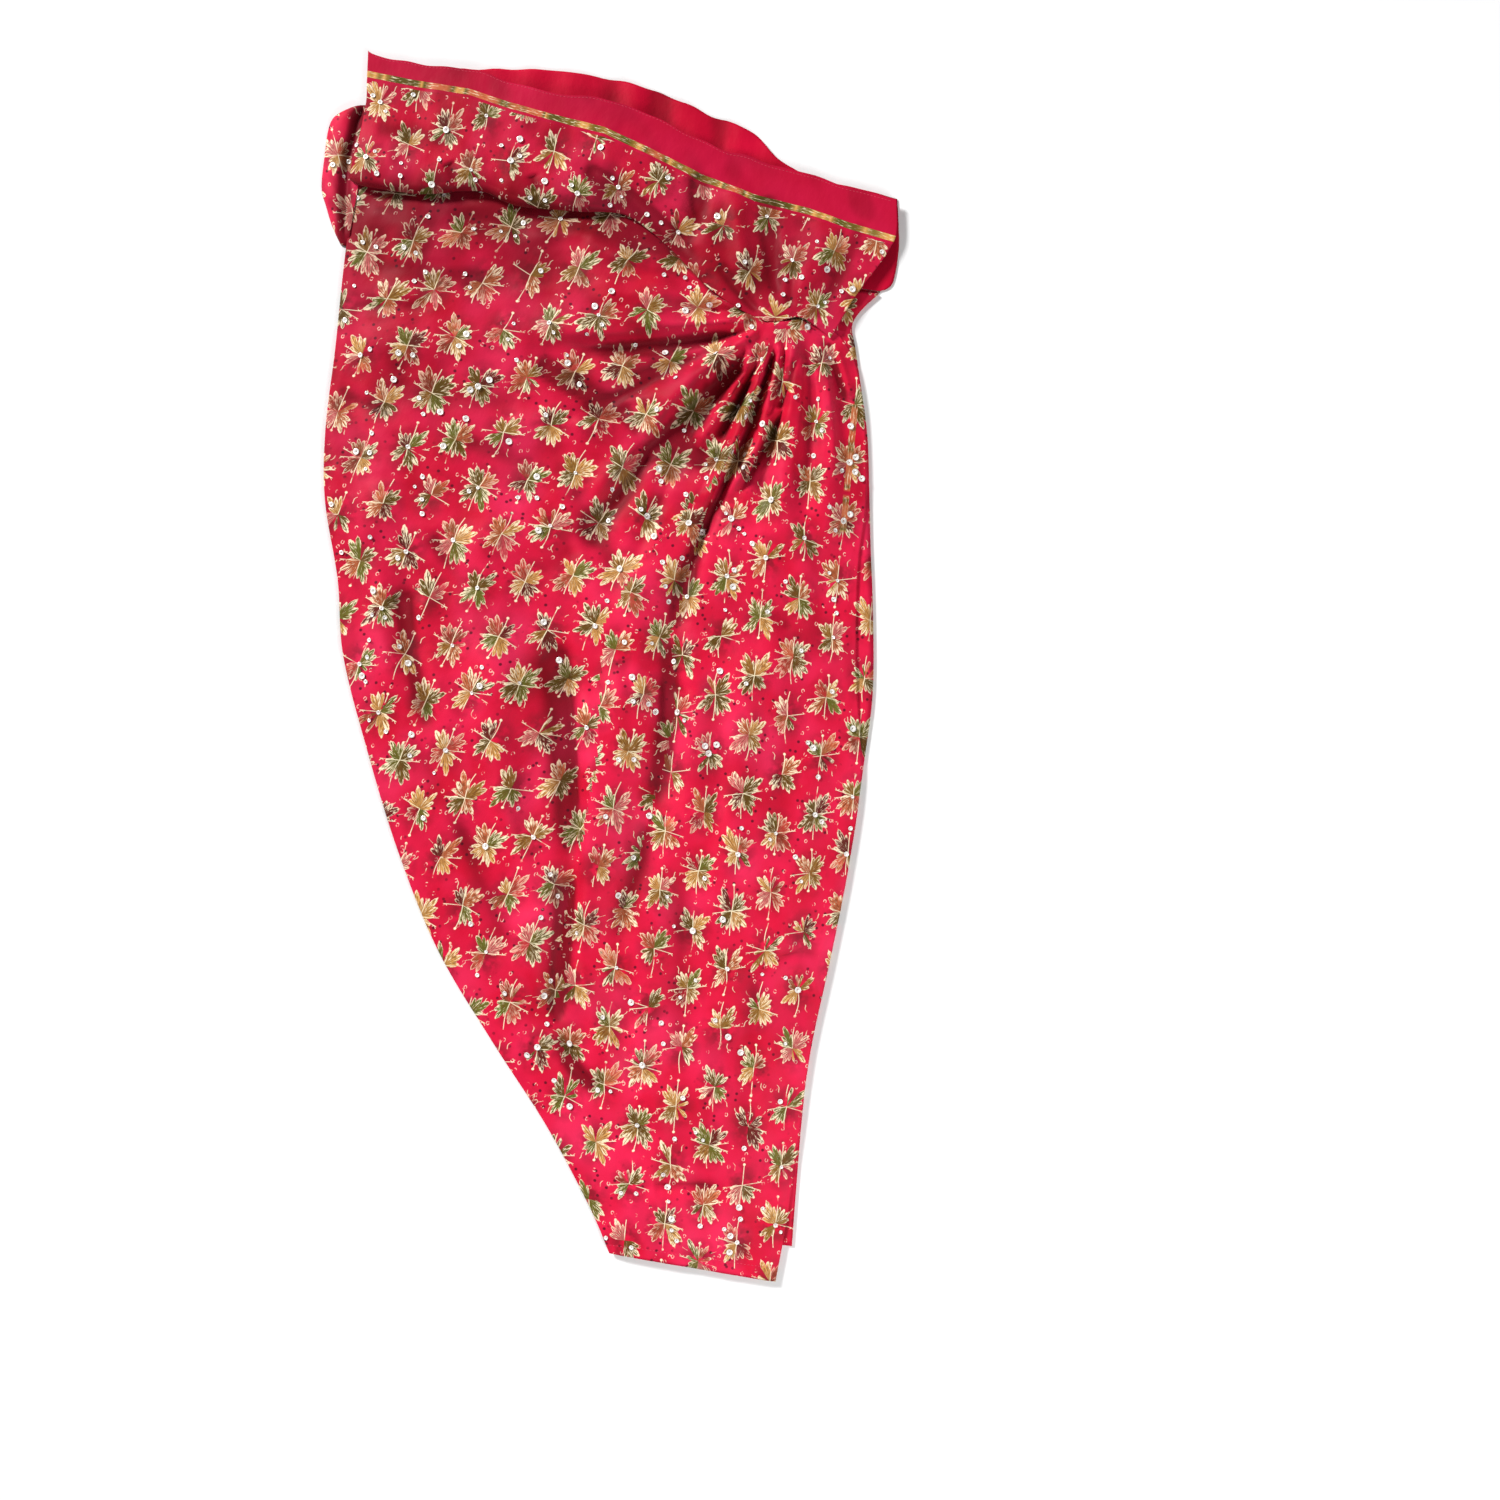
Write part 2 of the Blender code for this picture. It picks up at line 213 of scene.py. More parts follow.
# Pleats and folds: a path by its start, middle and end, its height (below 0 a valley), its half
# width at both ends, skew (above 0 it is steeper on its right) and how far its crest leans right
LEG_FOLDS = [
    Fold(131, 262, 108, 192, 57, 82, 5.0, 3.2, 3.0, 0.4, 1.8),
    Fold(128, 258, 103, 190, 54, 92, 1.6, 1.8, 1.8, 0.3, 0.5),
    Fold(136, 260, 114, 190, 62, 78, -3.6, 2.2, 2.8, -0.2, 0),
    Fold(141, 214, 124, 184, 97, 139, 4.2, 3.4, 3.2, 0.4, 1.5),
    Fold(140, 264, 136, 226, 122, 186, 2.8, 2.8, 3.0, 0.3, 0.8),
    Fold(146, 230, 132, 190, 104, 138, -3.2, 2.2, 2.8, -0.2, 0),
    Fold(133, 262, 120, 200, 96, 150, -2.8, 2.6, 4.5, -0.2, 0),
    Fold(85, 163, 90, 170, 92, 180, -2.8, 3.2, 2.6, 0, 0),
    Fold(126, 250, 106, 214, 88, 190, -2.6, 2.6, 3.0, 0, 0),
    Fold(122, 254, 100, 222, 80, 204, 2.0, 2.4, 3.0, 0.2, 0.4),
    Fold(152, 252, 148, 220, 132, 180, -1.8, 2.2, 3.4, 0, 0),
    Fold(158, 256, 160, 214, 150, 160, 1.6, 2.6, 4.0, 0.2, 0.3),
    Fold(166, 262, 172, 224, 170, 176, -1.7, 2.4, 3.6, 0, 0),
    Fold(176, 250, 184, 206, 184, 150, 1.5, 2.6, 4.0, 0, 0),
    Fold(108, 232, 78, 196, 58, 150, 1.6, 3.0, 5.0, 0, 0),
    Fold(92, 224, 60, 196, 44, 160, -2.2, 4.0, 6.0, 0, 0),
    Fold(98, 262, 50, 248, 0, 232, -1.8, 3.2, 6.0, 0, 0),
    Fold(100, 276, 40, 270, -30, 282, -1.6, 3.0, 6.0, 0, 0),
    Fold(96, 312, 40, 326, -20, 340, 1.7, 3.4, 7.0, 0, 0),
    Fold(143, 268, 138, 205, 118, 118, -2.2, 3.6, 8, 0, 0),
    Fold(150, 268, 150, 196, 136, 89, 3.5, 6, 14, 0, 0),
    Fold(161, 268, 164, 200, 160, 110, -1.8, 5, 10, 0, 0),
    Fold(171, 264, 181, 196, 179, 89, 3, 6, 14, 0, 0),
    Fold(178, 268, 187, 241, 196, 212, -3.4, 3.4, 5, 0, 0),
    Fold(185, 262, 196, 236, 203, 205, 2.0, 3.4, 5, 0, 0),
    Fold(123, 276, 74, 244, 33, 204, 5.5, 5, 13, 0.3, 1.0),
    Fold(121, 274, 66, 264, -32, 260, -4.2, 4.4, 8, -0.2, 0),
    Fold(119, 283, 58, 279, -90, 271, 4.5, 5, 15, 0.3, 0.8),
    Fold(114, 290, 87, 289, 41, 292, -2.6, 4, 7, 0, 0),
    Fold(111, 297, 66, 303, -41, 306, 3, 5, 16, 0.2, 0),
    Fold(108, 300, 60, 318, 5, 322, -1.8, 5, 12, 0, 0),
    Fold(113, 262, 84, 225, 33, 173, -4.2, 5, 11, 0, 0),
    Fold(118, 260, 97, 212, 66, 175, 3.6, 4, 8, 0.3, 0.8),
    Fold(116, 264, 88, 236, 52, 205, 2.2, 3.4, 7, 0, 0),
    Fold(123, 258, 108, 214, 84, 172, -2.4, 3.2, 6, 0, 0),
    Fold(112, 252, 88, 205, 54, 150, -3.6, 6, 13, 0.2, 0),
    Fold(112, 244, 92, 228, 74, 210, -2.4, 4, 6, 0, 0),
    Fold(60, 184, 74, 170, 85, 163, -3.4, 4.5, 5, 0, 0),
    Fold(66, 196, 82, 182, 96, 178, 2.2, 5, 6, 0, 0),
    Fold(40, 150, 62, 140, 82, 146, 1.6, 7, 7, 0, 0),
    Fold(-43, 24, -26, -72, -32, -165, -4.8, 15, 11, 0.3, 0),
    Fold(-32, -165, -36, -259, -46, -296, -4.8, 11, 9, 0.3, 0),
    Fold(-46, -296, -28, -333, 0, -349, -3.8, 9, 7, 0, 0),
    Fold(-60, 70, -10, 120, 40, 165, -1.8, 14, 10, 0, 0),
    Fold(-18, -20, -12, -120, -20, -240, 3.0, 12, 10, -0.3, 0),
    Fold(-20, -240, -20, -290, 10, -325, 2.4, 10, 8, 0, 0),
    Fold(85, 141, 66, 81, 51, 24, -4.6, 6, 10, 0.2, 0),
    Fold(51, 24, 54, -58, 33, -124, -3.6, 10, 12, 0.2, 0),
    Fold(33, -124, 18, -181, 2, -230, -2.8, 12, 10, 0, 0),
    Fold(68, 30, 74, -60, 60, -150, 2.2, 10, 14, -0.2, 0),
    Fold(46, -10, 48, -40, 46, -72, -1.8, 3, 3, 0.3, 0),
    Fold(25, 89, 10, -42, -4, -189, 3.2, 18, 15, 0, 0),
    Fold(-172, 65, -165, -1, -139, -58, -3.2, 10, 12, 0, 0),
    Fold(-145, 110, -127, 81, -108, 58, -2.6, 8, 8, 0, 0),
    Fold(-188, 155, -192, 57, -172, -42, 2.5, 14, 14, 0, 0),
    Fold(-150, 60, -146, 0, -120, -70, 2.2, 11, 12, 0, 0),
    Fold(-106, 122, -90, -9, -82, -148, 3.4, 22, 19, 0, 0),
    Fold(-60, -190, -62, -260, -40, -330, 1.6, 12, 9, 0, 0),
    Fold(-120, -120, -100, -190, -72, -250, -1.7, 12, 10, 0, 0),
    Fold(110, 20, 104, -90, 90, -220, 2.4, 22, 20, 0, 0),
    Fold(150, 40, 146, -60, 128, -180, -1.5, 20, 16, 0, 0),
    Fold(124, 65, 140, 46, 148, 28, -1.8, 6, 6, 0, 0),
    Fold(74, -233, 128, -231, 183, -233, -1.7, 2.4, 2.4, 0.3, 0),
    Fold(50, -16, 70, -14, 89, -20, -1.6, 2.4, 2.4, 0.3, 0),
    Fold(36, -419, 66, -415, 101, -429, -2.2, 5, 6, 0.3, 0),
    Fold(30, -432, 66, -428, 104, -442, 1.3, 6, 7, 0, 0),
    Fold(90, -300, 84, -360, 70, -412, -1.2, 14, 10, 0, 0),
    Fold(-131, 366, -77, 362, -24, 368, -2.4, 9, 9, 0, 0),
    Fold(-200, 372, -150, 352, -90, 342, 1.6, 12, 12, 0, 0),
    Fold(-196, 330, -130, 316, -60, 318, -1.6, 14, 12, 0, 0),
    Fold(-206, 268, -150, 258, -90, 262, 1.4, 14, 14, 0, 0),
    Fold(-20, 350, 20, 330, 62, 300, 1.8, 9, 8, 0, 0),
    Fold(-200, 230, -120, 214, -30, 222, -1.3, 18, 16, 0, 0),
    Fold(-60, 250, -20, 225, 20, 196, -3.0, 12, 11, 0, 0),
    Fold(-70, 232, -30, 206, 14, 176, 2.4, 10, 9, 0, 0),
    Fold(10, 215, 26, 186, 40, 166, -2.4, 8, 8, 0, 0),
    Fold(-196, 110, -150, 40, -126, -40, -1.6, 12, 12, 0, 0),
    Fold(-30, 150, 0, 100, 12, 60, -2.2, 12, 10, 0, 0),
    Fold(-70, 20, -64, -80, -70, -160, -2.0, 12, 12, 0, 0),
    Fold(-100, -60, -76, -130, -60, -190, 2.0, 10, 10, 0, 0),
    Fold(60, -160, 56, -260, 60, -340, -1.8, 13, 12, 0, 0),
    Fold(96, -20, 92, -100, 78, -170, -1.8, 11, 12, 0, 0),
    Fold(120, -240, 112, -330, 104, -400, -1.5, 12, 10, 0, 0),
    Fold(20, -290, 30, -340, 50, -390, 1.8, 9, 9, 0, 0),
    Fold(-210, 300, -180, 292, -140, 296, -1.2, 5, 6, 0, 0),
    Fold(-222, 230, -200, 214, -170, 204, -1.3, 5, 6, 0, 0),
    Fold(-226, 170, -206, 140, -196, 96, 1.2, 6, 6, 0, 0),
    Fold(-222, 100, -204, 70, -190, 30, -1.3, 5, 6, 0, 0),
    Fold(-30, 110, -8, 60, 4, 10, 1.3, 6, 7, 0, 0),
    Fold(10, 40, 20, -10, 16, -60, -1.3, 6, 6, 0, 0),
    Fold(130, 100, 136, 40, 130, -20, 1.1, 9, 9, 0, 0),
    Fold(170, 110, 174, 60, 168, 0, -1.0, 7, 8, 0, 0),
    Fold(60, 120, 80, 100, 110, 96, 1.3, 5, 6, 0, 0),
    Fold(-120, 190, -90, 170, -50, 166, -1.3, 8, 8, 0, 0),
    Fold(-160, -60, -130, -110, -112, -160, -1.3, 7, 7, 0, 0),
    Fold(-10, -380, 20, -372, 60, -380, -1.0, 6, 7, 0, 0),
    Fold(90, -440, 110, -452, 130, -450, -1.0, 5, 6, 0, 0),
    Fold(14, -250, 16, -300, 20, -350, -1.6, 8, 8, 0, 0),
    Fold(-90, -230, -70, -290, -44, -350, 1.5, 9, 8, 0, 0),
    Fold(-80, 200, -20, 196, 30, 204, 1.6, 16, 14, 0, 0),
    Fold(112, 268, 40, 238, -60, 190, -2.4, 3.6, 7, -0.2, 0),
    Fold(110, 262, 44, 210, -30, 120, 2.3, 4, 9, 0.2, 0),
    Fold(106, 256, 40, 196, -16, 100, -2.4, 3.4, 8, 0, 0),
    Fold(100, 246, 50, 170, 14, 70, -2.2, 3.4, 8, 0, 0),
]
BELT_FOLDS = [
    Fold(129, 388, 133, 344, 138, 300, -3.0, 8, 6, 0.2, 0),
    Fold(74, 404, 74, 372, 68, 345, -2.8, 8, 8, 0, 0),
    Fold(103, 394, 105, 352, 116, 306, 2.6, 10, 7, 0, 0),
    Fold(181, 374, 169, 331, 150, 296, 2.2, 16, 9, 0, 0),
    Fold(206, 366, 190, 320, 170, 288, -1.4, 8, 6, 0, 0),
    Fold(-20, 408, 30, 380, 74, 328, -2.8, 8, 7, 0, 0),
    Fold(-10, 420, 50, 396, 92, 330, 2.0, 10, 7, 0, 0),
    Fold(90, 330, 108, 304, 124, 288, -2.0, 5, 4, 0, 0),
    Fold(150, 330, 150, 306, 146, 292, -1.5, 5, 4, 0, 0),
    Fold(-150, 474, -90, 449, -30, 434, 1.8, 16, 16, 0, 0),
    Fold(-190, 440, -160, 436, -120, 426, -1.2, 9, 9, 0, 0),
    Fold(-130, 410, -124, 400, -122, 392, -1.6, 5, 6, 0, 0),
    Fold(-62, 400, -58, 392, -56, 384, -1.4, 5, 6, 0, 0),
]

# Where cloth is tucked away, the print closes up like a dart: its angle and the tuck's path
DARTS = [
    Dart(9, [(3, -230), (33, -124), (54, -40), (51, 24), (66, 81), (85, 141), (112, 200), (131, 264)]),
    Dart(11, [(0, -349), (-46, -300), (-36, -259), (-32, -165), (-30, -72), (-43, 30), (33, 173),
              (84, 225), (118, 262)]),
    Dart(9, [(-120, 262), (-32, 260), (66, 263), (120, 274)]),
]


def smooth_step(value):
    """0 below 0 and 1 above 1, with soft ends."""
    t = np.clip(value, 0.0, 1.0)
    return t * t * (3 - 2 * t)


def spline(rows, t):
    """Points at t, 0 to 1, on a smooth curve through a table's rows."""
    rows = np.array(rows, float)
    last = len(rows) - 1
    place = np.clip(t, 0.0, 1.0) * last
    row = np.minimum(place.astype(int), last - 1)
    s = (place - row)[:, None]
    before, start, end, after = (rows[np.clip(row + k, 0, last)] for k in (-1, 0, 1, 2))
    bend = 2 * before - 5 * start + 4 * end - after
    twist = 3 * start - before - 3 * end + after
    return 0.5 * (2 * start + (end - before) * s + bend * s ** 2 + twist * s ** 3)


def left_side(sections):
    """A leg's back edge, in plan."""
    return [(row.left_x, row.left_y) for row in sections]


def right_side(sections):
    """A leg's front edge, in plan."""
    return [(row.right_x, row.right_y) for row in sections]


def patch(top, bottom, left, right, u, v):
    """Points inside four edge curves."""
    along_u = u[:, None]
    along_v = v[:, None]
    across = (1 - along_v) * spline(top, u) + along_v * spline(bottom, u)
    down = (1 - along_u) * spline(left, v) + along_u * spline(right, v)
    first, second, third, fourth = (np.array(p, float) for p in (top[0], top[-1], bottom[0], bottom[-1]))
    corners = (
        (1 - along_u) * (1 - along_v) * first
        + along_u * (1 - along_v) * second
        + (1 - along_u) * along_v * third
        + along_u * along_v * fourth
    )
    return across + down - corners


def distance_to(x, y, line):
    """How far points are from a line of points."""
    best = np.full(x.shape, np.inf)
    for (x0, y0), (x1, y1) in zip(line, line[1:]):
        dx = x1 - x0
        dy = y1 - y0
        t = np.clip(((x - x0) * dx + (y - y0) * dy) / (dx * dx + dy * dy), 0, 1)
        best = np.minimum(best, np.hypot(x - x0 - t * dx, y - y0 - t * dy))
    return best


def fold_shape(folds, x, y, steps=16):
    """The height that all the folds add at some points, and how far their crests lean in plan."""
    height = np.zeros_like(x)
    lean_x = np.zeros_like(x)
    lean_y = np.zeros_like(x)
    t = np.linspace(0, 1, steps + 1)
    for fold in folds:
        path_x = (1 - t) ** 2 * fold.x0 + 2 * t * (1 - t) * fold.x1 + t * t * fold.x2
        path_y = (1 - t) ** 2 * fold.y0 + 2 * t * (1 - t) * fold.y1 + t * t * fold.y2
        best = np.full(x.shape, np.inf)
        along = np.zeros_like(x)
        side = np.ones_like(x)
        out_x = np.zeros_like(x)
        out_y = np.zeros_like(x)
        for step in range(steps):
            dx = path_x[step + 1] - path_x[step]
            dy = path_y[step + 1] - path_y[step]
            length = math.hypot(dx, dy)
            part = np.clip(((x - path_x[step]) * dx + (y - path_y[step]) * dy) / length ** 2, 0, 1)
            off_x = x - path_x[step] - part * dx
            off_y = y - path_y[step] - part * dy
            away = np.hypot(off_x, off_y)
            nearer = away < best
            best = np.where(nearer, away, best)
            along = np.where(nearer, (step + part) / steps, along)
            # On the right of a path that runs down, the cross product is above 0
            side = np.where(nearer, np.sign(dx * off_y - dy * off_x), side)
            out_x = np.where(nearer, -dy / length, out_x)
            out_y = np.where(nearer, dx / length, out_y)
        width = (fold.start + (fold.end - fold.start) * along) * (1 - fold.skew * side)
        fade = smooth_step(along / 0.12 + 0.25) * smooth_step((1 - along) / 0.3 + 0.15)
        profile = fade * np.exp(-((best / width) ** 2))
        height += fold.height * profile
        lean_x += fold.lean * profile ** 2 * out_x
        lean_y += fold.lean * profile ** 2 * out_y
    return height, lean_x, lean_y


def ripple(x, y, wavelength, seed):
    """Soft uneven waves from -1 to 1, the same on each run."""
    draw = random.Random(seed)
    total = np.zeros_like(x)
    waves = 7
    for _ in range(waves):
        turn = draw.uniform(0, 2 * math.pi)
        scale = 2 * math.pi / (wavelength * draw.uniform(0.7, 1.5))
        phase = draw.uniform(0, 2 * math.pi)
        total += np.sin((x * math.cos(turn) + y * math.sin(turn)) * scale + phase)
    return total / math.sqrt(waves) / 1.5


def seam_height(x, rows=YOKE_SEAM):
    """Y of the yoke seam at x."""
    return np.interp(x, [row.x for row in rows], [row.y for row in rows])


def seam_slope(x):
    """The yoke seam's slope in plan, smoothed along it."""
    line = spline(YOKE_SEAM, np.linspace(0, 1, 240))
    window = np.hanning(41)
    ends = np.pad(line[:, 1], 20, mode="edge")
    smooth = np.convolve(ends, window / window.sum(), mode="valid")
    return np.interp(x, line[:, 0], np.gradient(smooth, line[:, 0]))


def near_leg_height(x, y, side):
    """Upper face of the near leg: low at its side folds, full in the middle, then its folds."""
    edge = NEAR_BASE - EDGE_DROP * (1 - smooth_step(side / EDGE_REACH + 0.05))
    # Under the drooping belt the leg lies low for longer than it does at the pleats
    below = smooth_step((seam_height(x) - y + 5) / (9 + 21 * smooth_step((60 - x) / 60)))
    hem = smooth_step((y - NEAR_LEG[-1].left_y + 24) / 60)
    inside = smooth_step((side - EDGE_REACH / 2) / PUFF_REACH)
    folds, lean_x, lean_y = fold_shape(LEG_FOLDS, x, y)
    from_centre = np.hypot(x - PLEAT_CENTRE[0], y - PLEAT_CENTRE[1])
    mound = MOUND_HEIGHT * np.exp(-((from_centre / MOUND_REACH) ** 2))
    waves = 1.8 * ripple(x, y, 95, 3) + 0.9 * ripple(x, y, 38, 5) + 0.3 * ripple(x, y, 15, 6)
    near_edge = smooth_step((side - 1) / (1.5 * EDGE_REACH))
    full = PUFF * inside * hem + (FOLD_DEPTH * folds + mound) * near_edge + waves * inside
    softened = np.log1p(np.exp(1.6 * full)) / 1.6 - math.log(2) / 1.6
    height = edge + np.maximum(softened, 0) * below
    over = np.maximum(height - SOFT_CEILING, 0)
    height = np.minimum(height, SOFT_CEILING) + 6 * np.tanh(over / 6)
    return height, lean_x * below, lean_y * below


def curled(shape, radius, under):
    """A sheet whose side columns roll down round a fold and run back beneath it."""
    def rolled(u, v):
        margin = CURL_COLUMNS / (CURL_COLUMNS * 2 + 180)
        inner = np.clip((u - margin) / (1 - 2 * margin), 0, 1)
        place = shape(inner, v)
        before = shape(np.clip(inner, 0.002, 0.998), v)
        step = shape(np.clip(inner + np.where(u < 0.5, 0.004, -0.004), 0, 1), v) - place
        outward = -step[:, :2] / np.maximum(np.hypot(step[:, 0], step[:, 1]), 1e-6)[:, None]
        beyond = np.maximum(margin - u, u - (1 - margin)) / margin
        beyond = np.clip(beyond, 0, 1)
        turn = np.clip(beyond / 0.65, 0, 1) * math.pi
        run = np.clip((beyond - 0.65) / 0.35, 0, 1) * under
        rolls = beyond > 0
        out = np.where(rolls, radius * np.sin(turn) - run, 0)
        drop = np.where(rolls, radius * (1 - np.cos(turn)), 0)
        place[:, 0] += outward[:, 0] * out
        place[:, 1] += outward[:, 1] * out
        place[:, 2] = np.where(rolls, before[:, 2] - drop, place[:, 2])
        return place
    return rolled


def near_leg_shape(u, v):
    """The near leg's pleated panel; its columns crowd to the pleats under the yoke seam."""
    crowd = 1 - (1 - u) ** 1.7
    across = crowd + (u - crowd) * smooth_step(v / 0.55)
    top = [(row.x, row.y + YOKE_TUCK) for row in YOKE_SEAM]
    top[0] = left_side(NEAR_LEG)[0]
    top[1] = (YOKE_SEAM[1].x, YOKE_SEAM[1].y + YOKE_TUCK / 3)
    top[-1] = right_side(NEAR_LEG)[0]
    last = NEAR_LEG[-1]
    bottom = [(last.left_x, last.left_y), (last.right_x, last.right_y)]
    down = v + 0.35 * v * (v - 1)
    plan = patch(top, bottom, left_side(NEAR_LEG), right_side(NEAR_LEG), across, down)
    x = plan[:, 0]
    y = plan[:, 1]
    side = np.minimum(distance_to(x, y, left_side(NEAR_LEG)), distance_to(x, y, right_side(NEAR_LEG)))
    height, lean_x, lean_y = near_leg_height(x, y, side)
    return np.stack([x + lean_x, y + lean_y, height], 1)


def leg_top_at(x, y):
    """Height of the near leg under the belt."""
    side = np.minimum(distance_to(x, y, left_side(NEAR_LEG)), distance_to(x, y, right_side(NEAR_LEG)))
    return near_leg_height(x, y, side)[0]


def inside_ends(u):
    """0 at both ends of a row and 1 between them."""
    return smooth_step(12 * u * (1 - u))


def near_belt_shape(u, v):
    """The near belt: its lower edge rolls under, in a deep droop at the back."""
    top = [row[:3] for row in BELT_TOP]
    down = np.minimum(v / LIP_START, 1)
    place = patch(top, YOKE_SEAM, BELT_BACK, BELT_FRONT, u, down * LIP_LINE)
    x = place[:, 0]
    y = place[:, 1]
    inside = smooth_step(10 * u * (1 - u)) * smooth_step(v * 3)
    droops = smooth_step((0.66 - u) / 0.28) * smooth_step(u / 0.08 + 0.3)
    height = place[:, 2] + DROOP_HEIGHT * droops * smooth_step((down - 0.35) / 0.6)
    height += 2.0 * fold_shape(BELT_FOLDS, x, y)[0] * inside
    height += (1.1 * ripple(x, y, 60, 8) + 0.5 * ripple(x, y, 24, 9)) * inside
    height = np.maximum(height, leg_top_at(x, y) + 0.5 + 1.3 * CLOTH)
    turn = np.clip((v - LIP_START) / (1 - LIP_START), 0, 1) * math.pi * 0.92
    slope = seam_slope(x)
    steep = np.hypot(slope, 1)
    leg = leg_top_at(x + slope / steep * 4, y - 4 / steep)
    radius = np.clip((height - leg - 0.7) / 2, 0.6, 7)
    out = radius * np.sin(turn)
    place[:, 0] += slope / steep * out
    place[:, 1] -= out / steep
    place[:, 2] = height - radius * (1 - np.cos(turn))
    # The waist edge isn't quite straight
    waist = smooth_step((0.12 - v) / 0.12)
    place[:, 1] += (1.3 * ripple(x, x * 0, 32, 17) * inside_ends(u) + 2.5 * np.exp(-u / 0.012)) * waist
    return place


def far_belt_shape(u, v):
    """The far belt, flat on the surface, its waist edge lifting a little."""
    place = patch(FAR_BELT_TOP, FAR_SEAM, FAR_BELT_BACK, FAR_BELT_FRONT, u, v)
    x = place[:, 0] - 0.15 * place[:, 1]
    place[:, 1] += 1.4 * ripple(x, x * 0, 30, 18) * smooth_step((0.2 - v) / 0.2) * inside_ends(u)
    waves = 1.6 + 1.5 * ripple(x, 0.2 * place[:, 1], 34, 12)
    place[:, 2] += np.maximum(waves, 0) * smooth_step((0.62 - v) / 0.5) * inside_ends(u)
    return place


def seat_shape(u, v):
    """The gusset's rounded fold: down to the surface outside and tucked under the belt inside."""
    row = spline(SEAT, v)
    width = row[:, 2] - row[:, 0]
    crest = np.minimum(8.6, 2.0 + 0.4 * width) * smooth_step(v / 0.12 + 0.65)
    crest *= smooth_step((1 - v) / 0.2 + 0.45)
    tuck = np.minimum(6.6, crest)
    rise = np.sqrt(np.clip(1 - (1 - np.minimum(u / 0.42, 1)) ** 2, 0, 1))
    height = 0.7 + (crest - 0.7) * rise - (crest - tuck) * smooth_step((u - 0.42) / 0.5)
    x = row[:, 0] + width * u
    y = row[:, 1] + (row[:, 3] - row[:, 1]) * u
    height += 0.7 * ripple(x, y, 24, 15) * rise * (1 - u)
    groove = smooth_step(v / 0.15) * smooth_step((1 - v) / 0.3)
    height -= 4.6 * np.exp(-(((u - 0.66) / 0.13) ** 2)) * groove
    return np.stack([x, y, np.maximum(height, 0.7)], 1)


def flat_panel(sections, inset, top, wave, seed):
    """A hidden panel inside a leg's outline, drawn in from the sides."""
    def shape(u, v):
        row = spline(sections, 0.006 + 0.99 * v)
        start = row[:, :2]
        end = row[:, 2:]
        span = np.hypot(*(end - start).T)[:, None]
        across = (end - start) / span
        plan = start + across * inset + (end - start - 2 * across * inset) * u[:, None]
        height = top + wave * ripple(plan[:, 0], plan[:, 1], 55, seed) * smooth_step(12 * u * (1 - u))
        return np.stack([plan[:, 0], plan[:, 1], height], 1)
    return shape


def far_outer_shape(u, v):
    """The far leg's outer panel, flat on the surface, from the far belt's seam down."""
    top = [(edge.x, edge.y - 0.4) for edge in FAR_SEAM]
    left = left_side(FAR_LEG)
    right = right_side(FAR_LEG)
    left[0] = top[0]
    right[0] = top[-1]
    plan = patch(top, [left[-1], right[-1]], left, right, u, v)
    return np.stack([plan[:, 0], plan[:, 1], np.full(u.shape, FAR_OUTER_TOP)], 1)


def line_point_at(path, radius):
    """Direction from a path's first point to the place where it is that far away."""
    path = np.array(path, float)
    offset = path - path[0]
    reach = np.hypot(offset[:, 0], offset[:, 1])
    angle = np.unwrap(np.arctan2(offset[1:, 1], offset[1:, 0]))
    return np.interp(radius, reach[1:], angle)


def close_dart(dart, x, y):
    """Plan points as they were before a dart's cloth was tucked away."""
    apex_x, apex_y = dart.path[0]
    radius = np.hypot(x - apex_x, y - apex_y)
    angle = np.arctan2(y - apex_y, x - apex_x)
    from_tuck = np.mod(angle - line_point_at(dart.path, radius), 2 * math.pi)
    turn = math.radians(dart.degrees) * np.clip(1 - from_tuck / math.pi, 0, 1)
    angle = angle + turn
    return apex_x + radius * np.cos(angle), apex_y + radius * np.sin(angle)


# The front edge's line, from which the leg's print runs: a point on it and its lean
FRONT_POINT = (201, 65)
FRONT_LEAN = math.radians(5.5)


def leg_chart(x, y, v):
    """The leg's cloth coordinates: across from the front edge, and up along it."""
    for dart in DARTS:
        x, y = close_dart(dart, x, y)
    dx = x - FRONT_POINT[0]
    dy = y - FRONT_POINT[1]
    across = dx * math.cos(FRONT_LEAN) - dy * math.sin(FRONT_LEAN)
    along = dx * math.sin(FRONT_LEAN) + dy * math.cos(FRONT_LEAN)
    return across, along


def belt_chart(x, y, v):
    """The belt's cloth coordinates: along the stripe, and up from it into the plain band."""
    top_x = [row.x for row in BELT_TOP]
    stripe = np.interp(x, top_x, [row.y - row.band for row in BELT_TOP])
    length = [0.0]
    for one, two in zip(BELT_TOP, BELT_TOP[1:]):
        length.append(length[-1] + math.hypot(two.x - one.x, two.y - one.y))
    slope = np.gradient(np.array([row.y - row.band for row in BELT_TOP]), np.array(top_x, float))
    lean = np.arctan(np.interp(x, top_x, slope))
    beyond = np.minimum(x - top_x[0], 0) + np.maximum(x - top_x[-1], 0)
    along = np.interp(x, top_x, length) + beyond + (y - stripe) * np.sin(lean)
    return along, (y - stripe) * np.cos(lean)


def plain_chart(x, y, v):
    """Cloth coordinates that are the plan's own."""
    return x, y


def seat_chart(x, y, v):
    """The gusset's cloth coordinates, turned as its print is."""
    lean = math.radians(-14)
    return x * math.cos(lean) - y * math.sin(lean) + 8, x * math.sin(lean) + y * math.cos(lean) + 19


